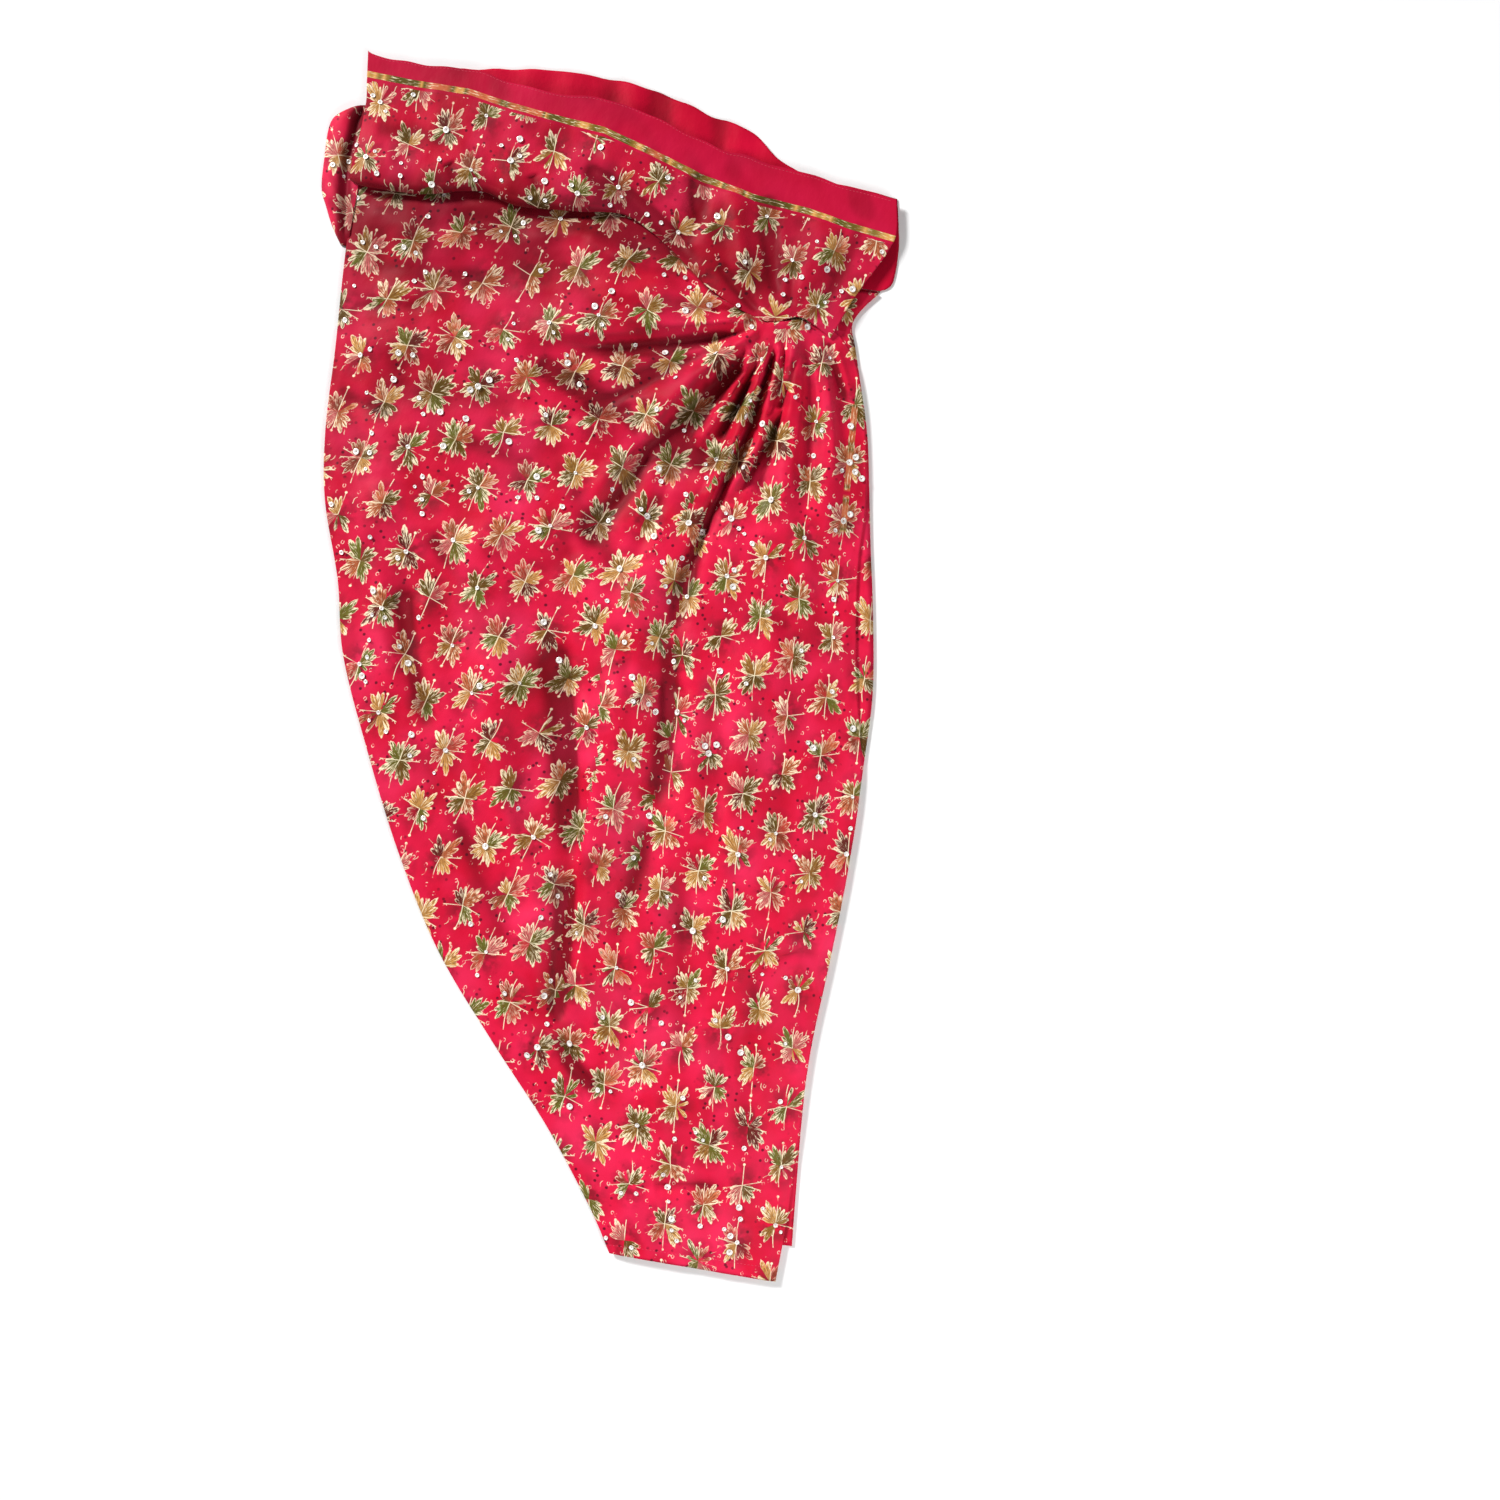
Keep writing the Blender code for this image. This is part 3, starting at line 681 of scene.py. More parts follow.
def fold_depth(folds, x, y, strength):
    """How far down in a fold a point lies, 0 to 1."""
    return smooth_step(-fold_shape(folds, x, y)[0] / strength)


def wave_trough_shade(x, y):
    """Low places of the soft waves, 0 to 1, darkened as painted shade."""
    return 0.5 * smooth_step(-ripple(x, y, 95, 3)) + 0.4 * smooth_step(-ripple(x, y, 38, 5))


def leg_painted_shade(x, y):
    """Painted shade on the near leg: darker in its folds and wave troughs, in a painted shadow under the
    drooping belt, towards the upper left and the back edge, and round the gathered pleats.
    """
    droops = smooth_step((75 - x) / 70)
    below_seam = np.maximum(seam_height(x) - y - 2 - 8 * droops, 0)
    # Painted shadow under the drooping belt: dark just below it, then patchy and fading down the leg
    uneven = 0.8 + 0.5 * ripple(x, y, 44, 41)
    droop_shadow = droops * (0.9 * np.exp(-below_seam / 8) + 0.66 * uneven * np.exp(-below_seam / 42))
    # Painted shade: darker towards the upper left and the back edge, where the light falls off
    upper_left_shade = 0.34 * smooth_step((y - 0.5 * x - 60) / 330) + 0.16 * smooth_step((-60 - x) / 120)
    # Painted shade round the gathered pleats
    gathered_shade = 0.34 * np.exp(-(((x - 45) / 75) ** 2) - ((y - 215) / 62) ** 2)
    deep = np.maximum(fold_depth(LEG_FOLDS, x, y, 3.4), droop_shadow)
    return np.clip(deep + 0.5 * wave_trough_shade(x, y) + upper_left_shade + gathered_shade, 0, 1)


def belt_painted_shade(x, y):
    """Painted shade on the near belt: darker in its folds and wave troughs, just above its drooping lip at
    the back, round the gathered pleats, and a little all over.
    """
    above_seam = np.maximum(y - seam_height(x) + 4, 0)
    # Painted shade on the belt just above its drooping lip
    lip_shade = 0.6 * smooth_step((90 - x) / 80) * np.exp(-above_seam / 9)
    # Painted shade round the gathered pleats
    gathered_shade = 0.26 * np.exp(-(((x - 85) / 60) ** 2) - ((y - 325) / 42) ** 2)
    # Painted shade: the 0.5 darkens the whole belt a little
    tone = 0.45 * wave_trough_shade(x + 40, y) + lip_shade + gathered_shade + 0.5
    return np.minimum(fold_depth(BELT_FOLDS, x, y, 3.0) + tone, 1)


def far_belt_painted_shade(x, y):
    """Painted shade on the far belt: it lies in the near one's shade, and more so in its own waves."""
    return 0.15 + 0.7 * smooth_step(-ripple(x - 0.15 * y, 0.2 * y, 34, 12))


def seat_painted_shade(x, y):
    """Painted shade on the gusset: darkest in the groove beside the belt, darker in its waves' low places,
    and a little all over.
    """
    back = sorted((edge.y, edge.x) for edge in BELT_BACK)
    beside = np.interp(y, [row[0] for row in back], [row[1] for row in back]) - x
    return np.clip(1.2 * np.exp(-(((beside - 5) / 7) ** 2)) + 0.5 * wave_trough_shade(3 * x, 3 * y) + 0.15, 0, 1)


def cloth(name, columns, rows, shape, chart, finish, thickness=CLOTH, hollow=None):
    """A sheet of cloth on a grid, with a map in millimetres of cloth for its print, and a painted shade for
    each point if one is given.
    """
    mesh = bpy.data.meshes.new(name)
    made = bmesh.new()
    bmesh.ops.create_grid(made, x_segments=columns, y_segments=rows, size=0.5)
    made.verts.index_update()
    u = np.array([vertex.co.x + 0.5 for vertex in made.verts])
    v = np.array([0.5 - vertex.co.y for vertex in made.verts])
    places = shape(u, v)
    for vertex, place in zip(made.verts, places):
        vertex.co = place * MM
    layer = made.loops.layers.uv.new("cloth")
    faces = [[vertex.index for vertex in face.verts] for face in made.faces]
    corners = np.array(faces)
    # A face is charted from its own middle's side of a tuck, so the print isn't smeared across it
    middle = places[corners].mean(1)
    near = middle[:, None, :] + (places[corners] - middle[:, None, :]) * 0.02
    base = np.stack(chart(middle[:, 0], middle[:, 1], v[corners].mean(1)), 1)
    flat = near.reshape(-1, 3)
    close = np.stack(chart(flat[:, 0], flat[:, 1], np.repeat(v[corners].mean(1), 4)), 1)
    charted = base[:, None, :] + (close.reshape(-1, 4, 2) - base[:, None, :]) * 50
    for face, values in zip(made.faces, charted):
        for loop, value in zip(face.loops, values):
            loop[layer].uv = value
    made.to_mesh(mesh)
    made.free()
    piece = bpy.data.objects.new(name, mesh)
    bpy.context.scene.collection.objects.link(piece)
    mesh.shade_smooth()
    mesh.materials.append(finish)
    # Each point's painted shade, which the materials multiply into the colour
    shade_layer = mesh.attributes.new("hollow", "FLOAT", "POINT")
    if hollow:
        shade_layer.data.foreach_set("value", hollow(places[:, 0], places[:, 1]).astype(np.float32))
    wall = piece.modifiers.new("wall", "SOLIDIFY")
    wall.thickness = thickness * MM
    wall.offset = -1
    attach(piece, "root")
    return piece


class Value:
    """A number in a material: arithmetic on it adds Math nodes."""

    def __init__(self, finish, socket):
        self.finish = finish
        self.socket = socket

    def math(self, operation, *others, clamp=False):
        """A Math node on this value and others."""
        inputs = {0: self}
        for place, other in enumerate(others, start=1):
            inputs[place] = other
        return self.finish.node(
            "ShaderNodeMath", {"operation": operation, "use_clamp": clamp}, inputs
        )

    def __add__(self, other):
        return self.math("ADD", other)

    def __sub__(self, other):
        return self.math("SUBTRACT", other)

    def __mul__(self, other):
        return self.math("MULTIPLY", other)

    def __truediv__(self, other):
        return self.math("DIVIDE", other)

    def __neg__(self):
        return self.math("MULTIPLY", -1.0)

    def __radd__(self, other):
        return self.math("ADD", other)

    def __rmul__(self, other):
        return self.math("MULTIPLY", other)

    def __rsub__(self, other):
        return (-self).math("ADD", other)

    def __abs__(self):
        return self.math("ABSOLUTE")

    def less(self, other):
        """1 where this is the smaller."""
        return self.math("LESS_THAN", other)

    def more(self, other):
        """1 where this is the greater."""
        return self.math("GREATER_THAN", other)

    def clamped(self):
        """Held between 0 and 1."""
        return self.math("ADD", 0.0, clamp=True)

    def larger(self, other):
        """The greater of two."""
        return self.math("MAXIMUM", other)

    def smaller(self, other):
        """The smaller of two."""
        return self.math("MINIMUM", other)


class Finish:
    """A material under construction."""

    def __init__(self, name, **constants):
        self.material = bpy.data.materials.new(name)
        self.material.use_nodes = True
        self.tree = self.material.node_tree
        self.shader = self.tree.nodes["Principled BSDF"]
        for socket, value in constants.items():
            self.shader.inputs[socket.replace("_", " ")].default_value = value

    def node(self, kind, settings, inputs, output=0):
        """Adds a node: its settings first, then what its sockets read; returns one output."""
        made = self.tree.nodes.new(kind)
        for setting, value in settings.items():
            if setting == "stops":
                self.fill_ramp(made.color_ramp, value)
            else:
                setattr(made, setting, value)
        for socket, value in inputs.items():
            if isinstance(value, Value):
                self.tree.links.new(value.socket, made.inputs[socket])
            else:
                made.inputs[socket].default_value = value
        return Value(self, made.outputs[output])

    def fill_ramp(self, ramp, stops):
        """Sets a colour ramp's stops."""
        while len(ramp.elements) < len(stops):
            ramp.elements.new(1.0)
        for element, (place, colour) in zip(ramp.elements, stops):
            element.position = place
            element.color = (*colour, 1)

    def mix(self, factor, first, second, blend="MIX"):
        """A colour between two."""
        return self.node(
            "ShaderNodeMix",
            {"data_type": "RGBA", "blend_type": blend},
            {0: factor, 6: first, 7: second},
            output=2,
        )

    def vector(self, x, y, z=0.0):
        """Three numbers as a vector."""
        return self.node("ShaderNodeCombineXYZ", {}, {0: x, 1: y, 2: z})

    def feed(self, socket, value):
        """Links a value to the shader."""
        self.tree.links.new(value.socket, self.shader.inputs[socket])


def rgb(red, green, blue):
    """A colour from its values of 0 to 255 as they look on a screen."""
    def linear(level):
        level /= 255
        return level / 12.92 if level <= 0.04045 else ((level + 0.055) / 1.055) ** 2.4
    return (linear(red), linear(green), linear(blue))


def solid(colour):
    """A colour with full alpha."""
    return (*colour, 1)


# Dyes, as they look on a screen; the rose also stands in for satin sheen, and the fold tint is painted shade
CRIMSON = rgb(227, 30, 75)
CRIMSON_DEEP = rgb(204, 11, 48)
# Partly a painted satin sheen on the ground, partly its random rose tone
ROSE_TONE_AND_SHEEN = rgb(238, 50, 98)
PLAIN_RED = rgb(222, 22, 74)
PLAIN_DEEP = rgb(202, 8, 56)
INSIDE_RED = rgb(212, 4, 54)
INSIDE_DEEP = rgb(184, 0, 40)
OLIVE = rgb(92, 84, 26)
MOSS = rgb(98, 116, 40)
GOLD = rgb(218, 162, 88)
AMBER = rgb(198, 106, 66)
KHAKI = rgb(158, 118, 50)
PINK = rgb(220, 112, 112)
WINE = rgb(92, 10, 26)
UMBER = rgb(78, 46, 20)
SMUDGE = rgb(104, 20, 30)
CREAM = rgb(255, 240, 202)
BLUSH = rgb(248, 204, 184)
# Painted shade: in a deep fold the cloth only sees itself, so its colour is multiplied towards this darker,
# redder tint
FOLD_SHADE_TINT = (0.24, 0.07, 0.11)


def random_three(finish, x, y, z):
    """Three random numbers for each place on a grid."""
    draw = finish.node(
        "ShaderNodeTexWhiteNoise", {"noise_dimensions": "3D"}, {0: finish.vector(x, y, z)}, 1
    )
    split = finish.tree.nodes.new("ShaderNodeSeparateColor")
    finish.tree.links.new(draw.socket, split.inputs[0])
    return [Value(finish, split.outputs[i]) for i in range(3)]


def sprig(finish, s, t, column):
    """One flower sprig of four quarters, in the column given; returns its masks and colour."""
    across = s - (column + 0.5) * COLUMN_PITCH
    up = t * (1 / ROW_PITCH) - column * COLUMN_SHIFT
    row = up.math("FLOOR")
    along = (up - row - 0.5) * ROW_PITCH
    a = abs(across)
    b = abs(along)
    quarter = across.more(0.0) * 2.0 + along.more(0.0)
    first, second, third = random_three(finish, column, row, quarter)

    # Each quarter is a frond of four pointed petals, longest on its diagonal
    wide = a * 1.22
    tall = b * 0.93
    radius = (wide * wide + tall * tall).math("SQRT")
    turn = tall.math("ARCTAN2", wide) * (2 / math.pi)
    fan = turn * 4.0
    number = fan.math("FLOOR")
    leaf = abs(fan - number - 0.5) * 2.0
    longer, paler, bare = random_three(finish, column * 4.0 + quarter, row, number)
    spread = (turn * math.pi).math("SINE")
    reach = (16.3 + second * 5.5) * (0.5 + 0.5 * spread) * (0.76 + longer * 0.36)
    jag = (radius * 2.3 + second * 6.0).math("SINE") * 0.3
    border = reach * (1.0 - 0.2 * leaf - 0.12 * leaf * leaf * leaf) + jag
    there = third.more(0.1) * bare.more(0.06)
    inside = ((border - radius) * 1.4).clamped() * there
    rim = (1.0 - abs(border - radius - 0.35) * 1.25).clamped() * there
    tips = (radius / reach).clamped()
    vein = ((0.13 - leaf) * 9.0).clamped() * tips.more(0.3) * tips.less(0.88)
    cleft = ((leaf - 0.78) * 6.0).clamped() * tips.more(0.3)

    patchy = finish.node(
        "ShaderNodeTexNoise",
        {"noise_dimensions": "3D"},
        {"Vector": finish.vector(s * 0.11, t * 0.11, 3.0), "Scale": 1.0, "Detail": 2.0},
    )
    stalk, hooked, _ = random_three(finish, column, row, along.more(0.0) + 7.0)
    bow = (b * 0.16).math("SINE") * (hooked - 0.5) * 3.0
    height = 13.0 + stalk * 10.0
    stem = ((0.5 - abs(across - bow)) * 2.4).clamped() * b.less(height) * stalk.more(0.15)
    bud = (across - bow) * (across - bow) + (b - height) * (b - height)
    knob = ((1.3 - bud.math("SQRT")) * 2.0).clamped() * hooked.more(0.45) * stalk.more(0.15)
    arm = ((0.45 - abs(b - a * 0.22)) * 2.4).clamped() * a.less(15.5) * second.more(0.55)
    prong = ((0.5 - abs(b - a * 0.22 - abs(a - 13.5) * 0.8)) * 2.2).clamped()
    prong = prong * a.more(12.0) * a.less(15.5) * second.more(0.55)
    sprout = ((0.5 - abs(a - b * (0.5 + third) - (b * 0.7).math("SINE"))) * 1.8).clamped() * radius.more(14.0)
    sprout = sprout * radius.less(20.0) * first.more(0.45)
    lines = stem.larger(arm).larger(knob).larger(prong).larger(sprout)
    lines = lines * ((patchy - 0.36) * 7.0).clamped()

    colour = finish.node(
        "ShaderNodeValToRGB",
        {"stops": [(0, OLIVE), (0.22, GOLD), (0.38, AMBER), (0.5, KHAKI), (0.66, MOSS),
                   (0.84, PINK), (0.91, WINE)]},
        {0: first},
    )
    colour.socket.node.color_ramp.interpolation = "CONSTANT"
    threads = finish.node(
        "ShaderNodeTexNoise",
        {"noise_dimensions": "3D"},
        {"Vector": finish.vector(turn * 22.0, radius * 0.22, first * 40.0), "Scale": 1.0, "Detail": 2.0},
    )
    colour = finish.mix((0.62 - tips * 0.85).clamped() * 0.9, colour, solid(UMBER))
    colour = finish.mix(((0.48 - threads) * 8.0).clamped() * 0.6, colour, solid(UMBER))
    pale = ((threads - 0.75 + tips * 0.26 + paler * 0.16) * 8.0).clamped()
    colour = finish.mix(pale * 0.9, colour, solid(CREAM))
    colour = finish.mix(cleft * 0.7, colour, solid(UMBER))
    colour = finish.mix(vein * 0.75, colour, solid(UMBER))
    edge = rim * ((patchy - 0.3) * 6.0).clamped() * (0.4 + 0.6 * tips)
    haze = (1.5 - radius * (1 / 14.0)).clamped() * ((patchy - 0.38) * 6.0).clamped()
    # A worn quarter lets the ground show through its frond
    inside = inside * (0.97 - 0.5 * third.more(0.84))
    return haze, inside, edge, lines, colour


def weave(finish, s, t):
    """The crepe's fine pebble, as a height."""
    pebble = finish.node(
        "ShaderNodeTexNoise",
        {"noise_dimensions": "3D"},
        {"Vector": finish.vector(s * 1.1, t * 0.8, 0.0), "Scale": 1.0, "Detail": 2.0, "Roughness": 0.6},
    )
    crinkle = finish.node(
        "ShaderNodeTexNoise",
        {"noise_dimensions": "3D"},
        {"Vector": finish.vector(s * 0.12, t * 0.07, 5.0), "Scale": 1.0, "Detail": 3.0},
    )
    return pebble * 0.12 + crinkle * 1.1


def cloth_map(finish):
    """The cloth's two coordinates in millimetres."""
    chart = finish.node("ShaderNodeUVMap", {"uv_map": "cloth"}, {})
    split = finish.tree.nodes.new("ShaderNodeSeparateXYZ")
    finish.tree.links.new(chart.socket, split.inputs[0])
    return Value(finish, split.outputs[0]), Value(finish, split.outputs[1])


def plain_ground(finish, s, t, light, deep):
    """Dyed cloth, a little uneven."""
    tone = finish.node(
        "ShaderNodeTexNoise",
        {"noise_dimensions": "3D"},
        {"Vector": finish.vector(s * 0.02, t * 0.02, 9.0), "Scale": 1.0, "Detail": 4.0},
    )
    return finish.mix(((tone - 0.35) * 2.6).clamped(), solid(deep), solid(light))


def with_painted_shade(finish, colour, floor, strength):
    """A colour with painted shade multiplied in, where the cloth's painted shade is above a floor."""
    hollow = finish.node("ShaderNodeAttribute", {"attribute_name": "hollow"}, {}, output=2)
    deep = ((hollow - floor) * (1 / (1 - floor))).clamped()
    return finish.mix(deep * strength, colour, solid(FOLD_SHADE_TINT), "MULTIPLY")


def finish_surface(finish, colour, height, shine, distance):
    """Feeds colour, bump and roughness to the shader."""
    bump = finish.node(
        "ShaderNodeBump", {}, {"Strength": 0.7, "Distance": distance * MM, "Height": height}
    )
    finish.feed("Base Color", colour)
    finish.feed("Normal", bump)
    finish.feed("Roughness", shine)


SATIN = {
    "Sheen_Weight": 0.03,
    "Sheen_Roughness": 0.5,
    "Specular_IOR_Level": 0.1,
}


def printed_finish(name, stripe):
    """Printed satin crepe; stripe names where its woven stripe runs, if it has one."""
    finish = Finish(name, **SATIN)
    s, t = cloth_map(finish)
    colour = plain_ground(finish, s, t, CRIMSON, CRIMSON_DEEP)
    # Random rose patches on the ground: partly its own tone, partly a painted satin sheen
    rosy_tone_and_sheen = finish.node(
        "ShaderNodeTexNoise",
        {"noise_dimensions": "3D"},
        {"Vector": finish.vector(s * 0.016, t * 0.012, 14.0), "Scale": 1.0, "Detail": 2.0},
    )
    colour = finish.mix(((rosy_tone_and_sheen - 0.5) * 5.0).clamped() * 0.6, colour, solid(ROSE_TONE_AND_SHEEN))
    # Painted shade on the ground: in folds, wave troughs and under the belt
    colour = with_painted_shade(finish, colour, 0.0, 0.7)
    dots = finish.node(
        "ShaderNodeTexVoronoi",
        {"voronoi_dimensions": "2D"},
        {"Vector": finish.vector(s, t), "Scale": 0.1, "Randomness": 1.0},
    )
    few = finish.node(
        "ShaderNodeTexNoise",
        {"noise_dimensions": "3D"},
        {"Vector": finish.vector(s * 0.035, t * 0.035, 2.0), "Scale": 1.0, "Detail": 1.0},
    )
    dark_dots = ((0.15 - dots) * 16.0).clamped() * ((few - 0.5) * 12.0).clamped()
    colour = finish.mix(dark_dots * 0.85, colour, solid(rgb(70, 8, 26)))
    curls = finish.node(
        "ShaderNodeTexVoronoi",
        {"voronoi_dimensions": "2D"},
        {"Vector": finish.vector(s + 3.0, t * 0.8), "Scale": 0.085, "Randomness": 1.0},
    )
    curls = ((0.034 - abs(curls - 0.09)) * 48.0).clamped() * ((few - 0.34) * 9.0).clamped()
    sliver = finish.node(
        "ShaderNodeTexNoise",
        {"noise_dimensions": "3D"},
        {"Vector": finish.vector(s * 0.5, t * 0.3, 7.0), "Scale": 1.0, "Detail": 1.0},
    )
    curls = curls * ((sliver - 0.46) * 12.0).clamped()
    colour = finish.mix(curls * 0.85, colour, solid(BLUSH))

    own = (s * (1 / COLUMN_PITCH)).math("FLOOR")
    towards = ((s * (1 / COLUMN_PITCH) - own).more(0.5)) * 2.0 - 1.0
    raised = None
    for column in (own + towards, own):
        haze, inside, rim, lines, dye = sprig(finish, s, t, column)
        colour = finish.mix(haze * 0.7, colour, solid(SMUDGE))
        colour = finish.mix(inside * 0.96, colour, dye)
        colour = finish.mix(rim * 0.8, colour, solid(CREAM))
        colour = finish.mix(lines * 0.95, colour, solid(CREAM))
        relief = inside.larger(lines)
        raised = relief if raised is None else raised.larger(relief)

    if stripe == "belt":
        plain = plain_ground(finish, s, t, PLAIN_RED, PLAIN_DEEP)
        # Painted shade on the plain band
        plain = with_painted_shade(finish, plain, 0.0, 0.6)
        band = t.more(0.0)
        printed = t.less(-STRIPE_WIDTH - 2.5)
        colour = finish.mix(1.0 - printed, colour, plain)
        raised = raised * printed
        woven = t.more(-STRIPE_WIDTH) * (1.0 - band)
        along = s
    else:
        woven = s.more(FRONT_STRIPE) * s.less(FRONT_STRIPE + STRIPE_WIDTH) * t.more(30.0) * t.less(170.0)
        along = t
    block = finish.node(
        "ShaderNodeTexNoise",
        {"noise_dimensions": "3D"},
        {"Vector": finish.vector(along * 0.036, 0.5, 1.0), "Scale": 1.0, "Detail": 1.0},
    )
    woven_dye = finish.node(
        "ShaderNodeValToRGB",
        {"stops": [(0, UMBER), (0.38, OLIVE), (0.46, KHAKI), (0.5, GOLD), (0.55, OLIVE), (0.64, AMBER)]},
        {0: block},
    )
    middle = t + STRIPE_WIDTH / 2 if stripe == "belt" else s - FRONT_STRIPE - STRIPE_WIDTH / 2
    strand = finish.node(
        "ShaderNodeTexNoise",
        {"noise_dimensions": "3D"},
        {"Vector": finish.vector(along * 0.16, middle * 1.3, 4.0), "Scale": 1.0, "Detail": 2.0},
    )
    woven_dye = finish.mix(((strand - 0.56) * 9.0).clamped() * 0.85, woven_dye, solid(CREAM))
    woven_dye = finish.mix(((0.42 - strand) * 7.0).clamped() * 0.6, woven_dye, solid(UMBER))
    if stripe == "leg":
        woven = woven * ((block - 0.49) * 20.0).clamped() * 0.85
    colour = finish.mix(woven, colour, woven_dye)
    raised = raised.larger(woven * 0.7)
    height = weave(finish, s, t) + raised * 0.35
    shine = 0.56 - raised * 0.12
    # More painted shade in the deepest places, over the print too
    finish_surface(finish, with_painted_shade(finish, colour, 0.5, 0.45), height, shine, 0.6)
    return finish.material


def plain_finish(name):
    """The inside of the unprinted band."""
    finish = Finish(name, **SATIN)
    s, t = cloth_map(finish)
    colour = plain_ground(finish, s, t, INSIDE_RED, INSIDE_DEEP)
    height = weave(finish, s, t)
    shine = 0.54 + height * 0.03
    # Painted shade on the plain inside
    finish_surface(finish, with_painted_shade(finish, colour, 0.0, 0.7), height, shine, 0.6)
    return finish.material


def sequin_finish():
    """Silver sequins."""
    finish = Finish("silver_sequin", Metallic=0.1, Roughness=0.25, Specular_IOR_Level=0.9)
    finish.shader.inputs["Base Color"].default_value = solid(rgb(236, 232, 226))
    place = finish.node("ShaderNodeTexCoord", {}, {}, output=3)
    tone = finish.node(
        "ShaderNodeTexNoise", {"noise_dimensions": "3D"}, {"Vector": place, "Scale": 160.0, "Detail": 1.0}
    )
    colour = finish.mix(tone, solid(rgb(255, 253, 248)), solid(rgb(214, 204, 198)))
    finish.feed("Base Color", colour)
    return finish.material


def thread_finish():
    """Sewing thread."""
    finish = Finish("crimson_thread", Roughness=0.55, Sheen_Weight=0.2)
    place = finish.node("ShaderNodeTexCoord", {}, {}, output=3)
    ply = finish.node(
        "ShaderNodeTexNoise", {"noise_dimensions": "3D"}, {"Vector": place, "Scale": 900.0, "Detail": 1.0}
    )
    finish.feed("Base Color", finish.mix(ply, solid(rgb(236, 70, 104)), solid(rgb(170, 16, 52))))
    return finish.material


Spot = namedtuple("Spot", "across along chance")
SEQUIN_SPOTS = [
    Spot(0.0, 0.0, 0.4),
    Spot(5.5, 6.0, 0.22),
    Spot(-6.0, 5.0, 0.22),
    Spot(6.0, -6.5, 0.25),
    Spot(-5.5, -7.0, 0.22),
    Spot(11.0, -12.0, 0.14),
    Spot(-11.5, 11.0, 0.14),
    Spot(1.0, 20.0, 0.22),
    Spot(-1.0, -17.5, 0.14),
    Spot(-15.0, 1.5, 0.12),
]


def sequin_template(radius, hole, thickness):
    """One cupped sequin with a hole, turned about its axis."""
    made = bmesh.new()
    profile = [
        (hole, 0.0, 0.0),
        (radius * 0.72, 0.0, radius * 0.10),
        (radius, 0.0, radius * 0.30),
        (radius, 0.0, radius * 0.30 + thickness),
        (radius * 0.70, 0.0, radius * 0.10 + thickness),
        (hole, 0.0, thickness),
    ]
    corners = [made.verts.new(place) for place in profile]
    edges = [made.edges.new((one, two)) for one, two in zip(corners, corners[1:] + corners[:1])]
    bmesh.ops.spin(
        made,
        geom=corners + edges,
        axis=(0, 0, 1),
        cent=(0, 0, 0),
        angle=2 * math.pi,
        steps=10,
        use_merge=True,
    )
    bmesh.ops.remove_doubles(made, verts=made.verts, dist=1e-6)
    bmesh.ops.recalc_face_normals(made, faces=made.faces)
    mesh = bpy.data.meshes.new("sequin")
    made.to_mesh(mesh)
    made.free()
    return mesh


def stitch_template(length, width):
    """One stitch: a low rounded bar."""
    made = bmesh.new()
    bmesh.ops.create_uvsphere(made, u_segments=6, v_segments=4, radius=0.5)
    bmesh.ops.scale(made, vec=(length, width, width), verts=made.verts)
    mesh = bpy.data.meshes.new("stitch")
    made.to_mesh(mesh)
    made.free()
    return mesh


def joined_copies(name, template, places, finish):
    """Many small things as one mesh, each copied to its own place."""
    made = bmesh.new()
    start = 0
    for place in places:
        made.from_mesh(template)
        made.verts.ensure_lookup_table()
        bmesh.ops.transform(made, matrix=place, verts=made.verts[start:])
        start = len(made.verts)
    mesh = bpy.data.meshes.new(name)
    made.to_mesh(mesh)
    made.free()
    mesh.shade_smooth()
    mesh.materials.append(finish)
    piece = bpy.data.objects.new(name, mesh)
    bpy.context.scene.collection.objects.link(piece)
    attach(piece, "root")
    return piece


def sprig_places(piece, spots, seed, allowed):
    """Where the print's spots fall on a piece: position and normal, once each."""
    draw = random.Random(seed)
    mesh = piece.data
    charted = mesh.uv_layers["cloth"].data
    found = {}
    for face in mesh.polygons:
        corners = [charted[i].uv for i in face.loop_indices]
        s = sum(corner.x for corner in corners) / 4
        t = sum(corner.y for corner in corners) / 4
        if not allowed(face.center / MM, s, t):
            continue
        column = math.floor(s / COLUMN_PITCH)
        for neighbour in (column - 1, column, column + 1):
            row = math.floor(t / ROW_PITCH - neighbour * COLUMN_SHIFT)
            across = s - (neighbour + 0.5) * COLUMN_PITCH
            along = t - (row + 0.5 + neighbour * COLUMN_SHIFT) * ROW_PITCH
            for number, spot in enumerate(spots):
                away = math.hypot(across - spot.across, along - spot.along)
                key = (neighbour, row, number)
                if away < 1.9 and away < found.get(key, (9.0,))[0]:
                    found[key] = (away, face.center.copy(), face.normal.copy())
    places = []
    for key in sorted(found):
        chance = draw.random()
        tilt = (draw.uniform(-0.12, 0.12), draw.uniform(-0.12, 0.12))
        turn = draw.uniform(0, 2 * math.pi)
        size = draw.choice((0.7, 0.85, 0.9, 1.0, 1.25))
        if chance > spots[key[2]].chance:
            continue
        _, centre, normal = found[key]
        up = (normal + Vector((tilt[0], tilt[1], 0))).normalized()
        spin = up.to_track_quat("Z", "Y").to_matrix().to_4x4()
        place = Matrix.Translation(centre + normal * 0.12 * MM) @ spin
        places.append(place @ Matrix.Rotation(turn, 4, "Z") @ Matrix.Scale(size, 4))
    return places


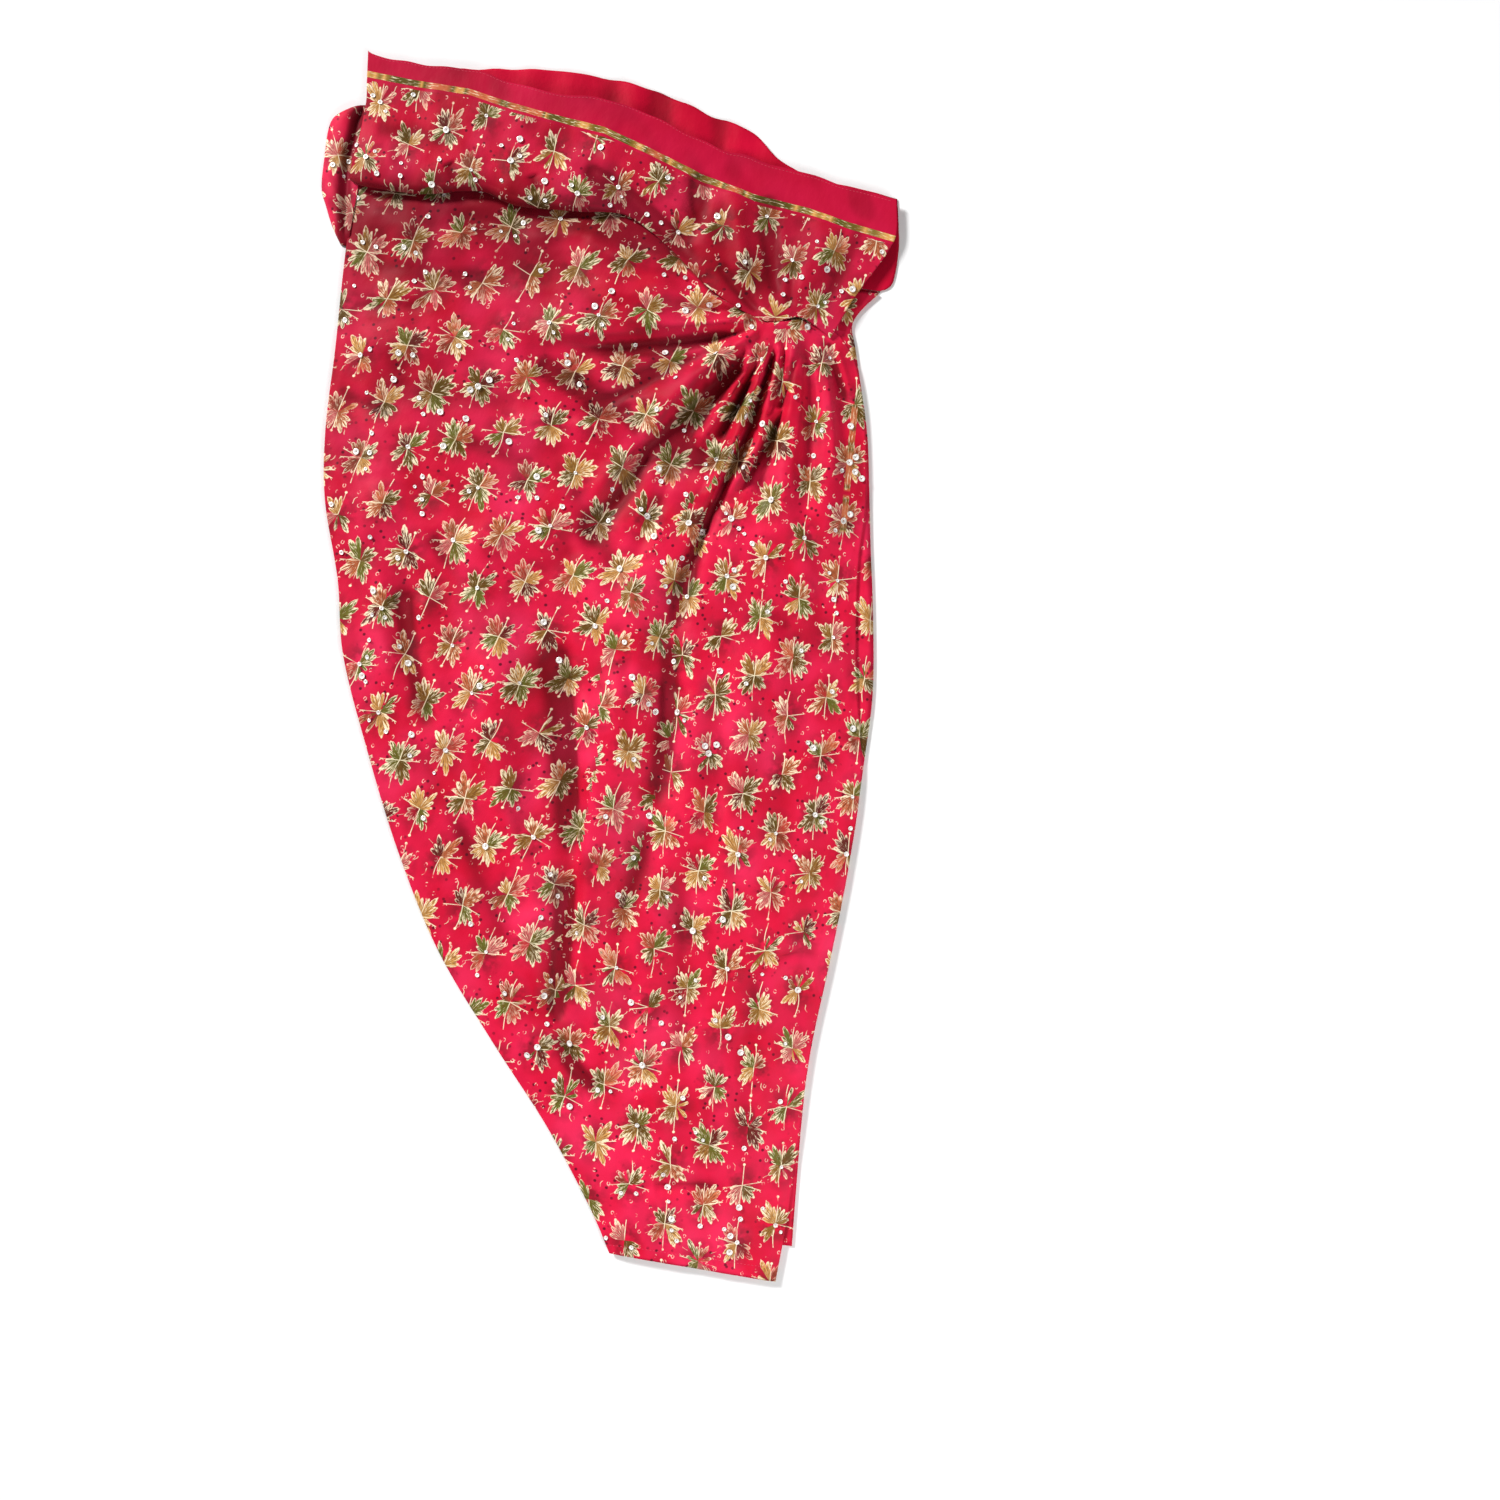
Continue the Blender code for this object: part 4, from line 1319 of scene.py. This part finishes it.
def stitch_row(shape, line, pitch, lift):
    """Stitches along a line of (u, v) on a cloth's shape."""
    u = np.array([p[0] for p in line])
    v = np.array([p[1] for p in line])
    points = shape(u, v)
    steps = np.hypot(*(points[1:, :2] - points[:-1, :2]).T)
    length = np.concatenate([[0], np.cumsum(steps)])
    places = []
    for distance in np.arange(pitch / 2, length[-1], pitch):
        here = np.array([np.interp(distance, length, points[:, i]) for i in range(3)])
        ahead = np.array([np.interp(distance + 0.6, length, points[:, i]) for i in range(3)])
        run = Vector(ahead - here).normalized()
        side = Vector((0, 0, 1)).cross(run).normalized()
        turned = Matrix((run, side, run.cross(side))).transposed().to_4x4()
        places.append(Matrix.Translation(Vector(here + np.array([0, 0, lift])) * MM) @ turned)
    return places


def build_garment():
    """Every cloth of the garment, its sequins and its sewing."""
    leg_print = printed_finish("printed_crepe_leg", "leg")
    belt_print = printed_finish("printed_crepe_belt", "belt")
    plain = plain_finish("plain_crepe")

    far_outer = cloth("far_leg_outer_cloth", 20, 80, far_outer_shape, leg_chart, leg_print)
    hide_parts("far_leg_outer_panel")
    far_inner_shape = curled(flat_panel(FAR_LEG, 1.0, FAR_INNER_TOP, 0.25, 21), 1.05, CURL_UNDER)
    far_inner = cloth("far_leg_inner_cloth", 60, 110, far_inner_shape, leg_chart, leg_print, 0.45)
    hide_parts("far_leg_inner_panel")
    near_inner_shape = flat_panel(NEAR_LEG, 14, NEAR_INNER_TOP, 0.15, 22)
    near_inner = cloth("near_leg_inner_cloth", 30, 80, near_inner_shape, leg_chart, leg_print, 0.45)
    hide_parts("near_leg_inner_panel")
    near_shape = curled(near_leg_shape, CURL_RADIUS, CURL_UNDER)
    # The pleated leg, both belts and the gusset carry painted shade in their colour
    near_leg = cloth("near_leg_pleated_cloth", 190, 230, near_shape, leg_chart, leg_print, hollow=leg_painted_shade)
    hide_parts("near_leg_pleated_panel")
    far_belt = cloth("far_belt_cloth", 110, 40, far_belt_shape, plain_chart, plain,
                     hollow=far_belt_painted_shade)
    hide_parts("far_belt")
    near_belt = cloth("near_belt_cloth", 220, 90, near_belt_shape, belt_chart, belt_print,
                      hollow=belt_painted_shade)
    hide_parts("near_belt")
    seat = cloth("seat_gusset_cloth", 36, 70, seat_shape, seat_chart, leg_print, hollow=seat_painted_shade)
    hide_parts("seat_gusset")

    silver = sequin_finish()
    disc = sequin_template(2.15 * MM, 0.4 * MM, 0.18 * MM)
    leg_spots = sprig_places(near_leg, SEQUIN_SPOTS, 31, lambda at, s, t: at.z > 5.6)
    belt_spots = sprig_places(near_belt, SEQUIN_SPOTS, 32, lambda at, s, t: t < -STRIPE_WIDTH - 5)
    seat_spots = sprig_places(seat, SEQUIN_SPOTS, 33, lambda at, s, t: at.x < -210 and at.z > 3)
    sequins = joined_copies("sequins", disc, leg_spots + belt_spots + seat_spots, silver)

    thread = thread_finish()
    stitch = stitch_template(2.2 * MM, 0.36 * MM)
    steps = np.linspace(0.02, 0.98, 90)
    rows = stitch_row(near_leg_shape, [(u, 0.985) for u in steps], 3.0, 0.05)
    rows += stitch_row(near_belt_shape, [(u, 0.02) for u in steps], 3.0, 0.05)
    stitches = joined_copies("stitches", stitch, rows, thread)


def area_light(name, place, size, power, aim):
    """A soft square light that faces a point."""
    data = bpy.data.lights.new(name, "AREA")
    data.shape = "RECTANGLE"
    data.size = size
    data.size_y = size
    data.energy = power
    lamp = bpy.data.objects.new(name, data)
    lamp.location = place
    lamp.rotation_euler = (Vector(aim) - Vector(place)).to_track_quat("-Z", "Y").to_euler()
    bpy.context.scene.collection.objects.link(lamp)


def build_studio():
    """A pale floor, soft light and the camera straight above."""
    mesh = bpy.data.meshes.new("floor")
    made = bmesh.new()
    bmesh.ops.create_grid(made, x_segments=1, y_segments=1, size=6.0)
    made.to_mesh(mesh)
    made.free()
    floor = bpy.data.objects.new("floor", mesh)
    bpy.context.scene.collection.objects.link(floor)
    pale = Finish("pale_floor", Roughness=0.9)
    pale.shader.inputs["Base Color"].default_value = (0.9, 0.9, 0.9, 1)
    mesh.materials.append(pale.material)

    world = bpy.data.worlds.new("studio")
    world.use_nodes = True
    world.node_tree.nodes["Background"].inputs[0].default_value = (1, 1, 1, 1)
    world.node_tree.nodes["Background"].inputs[1].default_value = 0.17
    bpy.context.scene.world = world
    area_light("window", (-3.9, 3.9, 3.5), 1.4, 580, (0, 0, 0))
    area_light("fill", (1.0, -1.2, 1.2), 1.2, 26, (0.1, -0.3, 0))
    bpy.context.scene.view_settings.view_transform = "Standard"

    side = PHOTO_SIDE * PIXEL * MM
    camera_data = bpy.data.cameras.new("camera")
    camera_data.lens = LENS
    camera_data.sensor_width = SENSOR
    camera = bpy.data.objects.new("camera", camera_data)
    camera.location = (PHOTO_CENTRE[0] * MM, PHOTO_CENTRE[1] * MM, side * LENS / SENSOR)
    bpy.context.scene.collection.objects.link(camera)
    bpy.context.scene.camera = camera


build_garment()
build_studio()
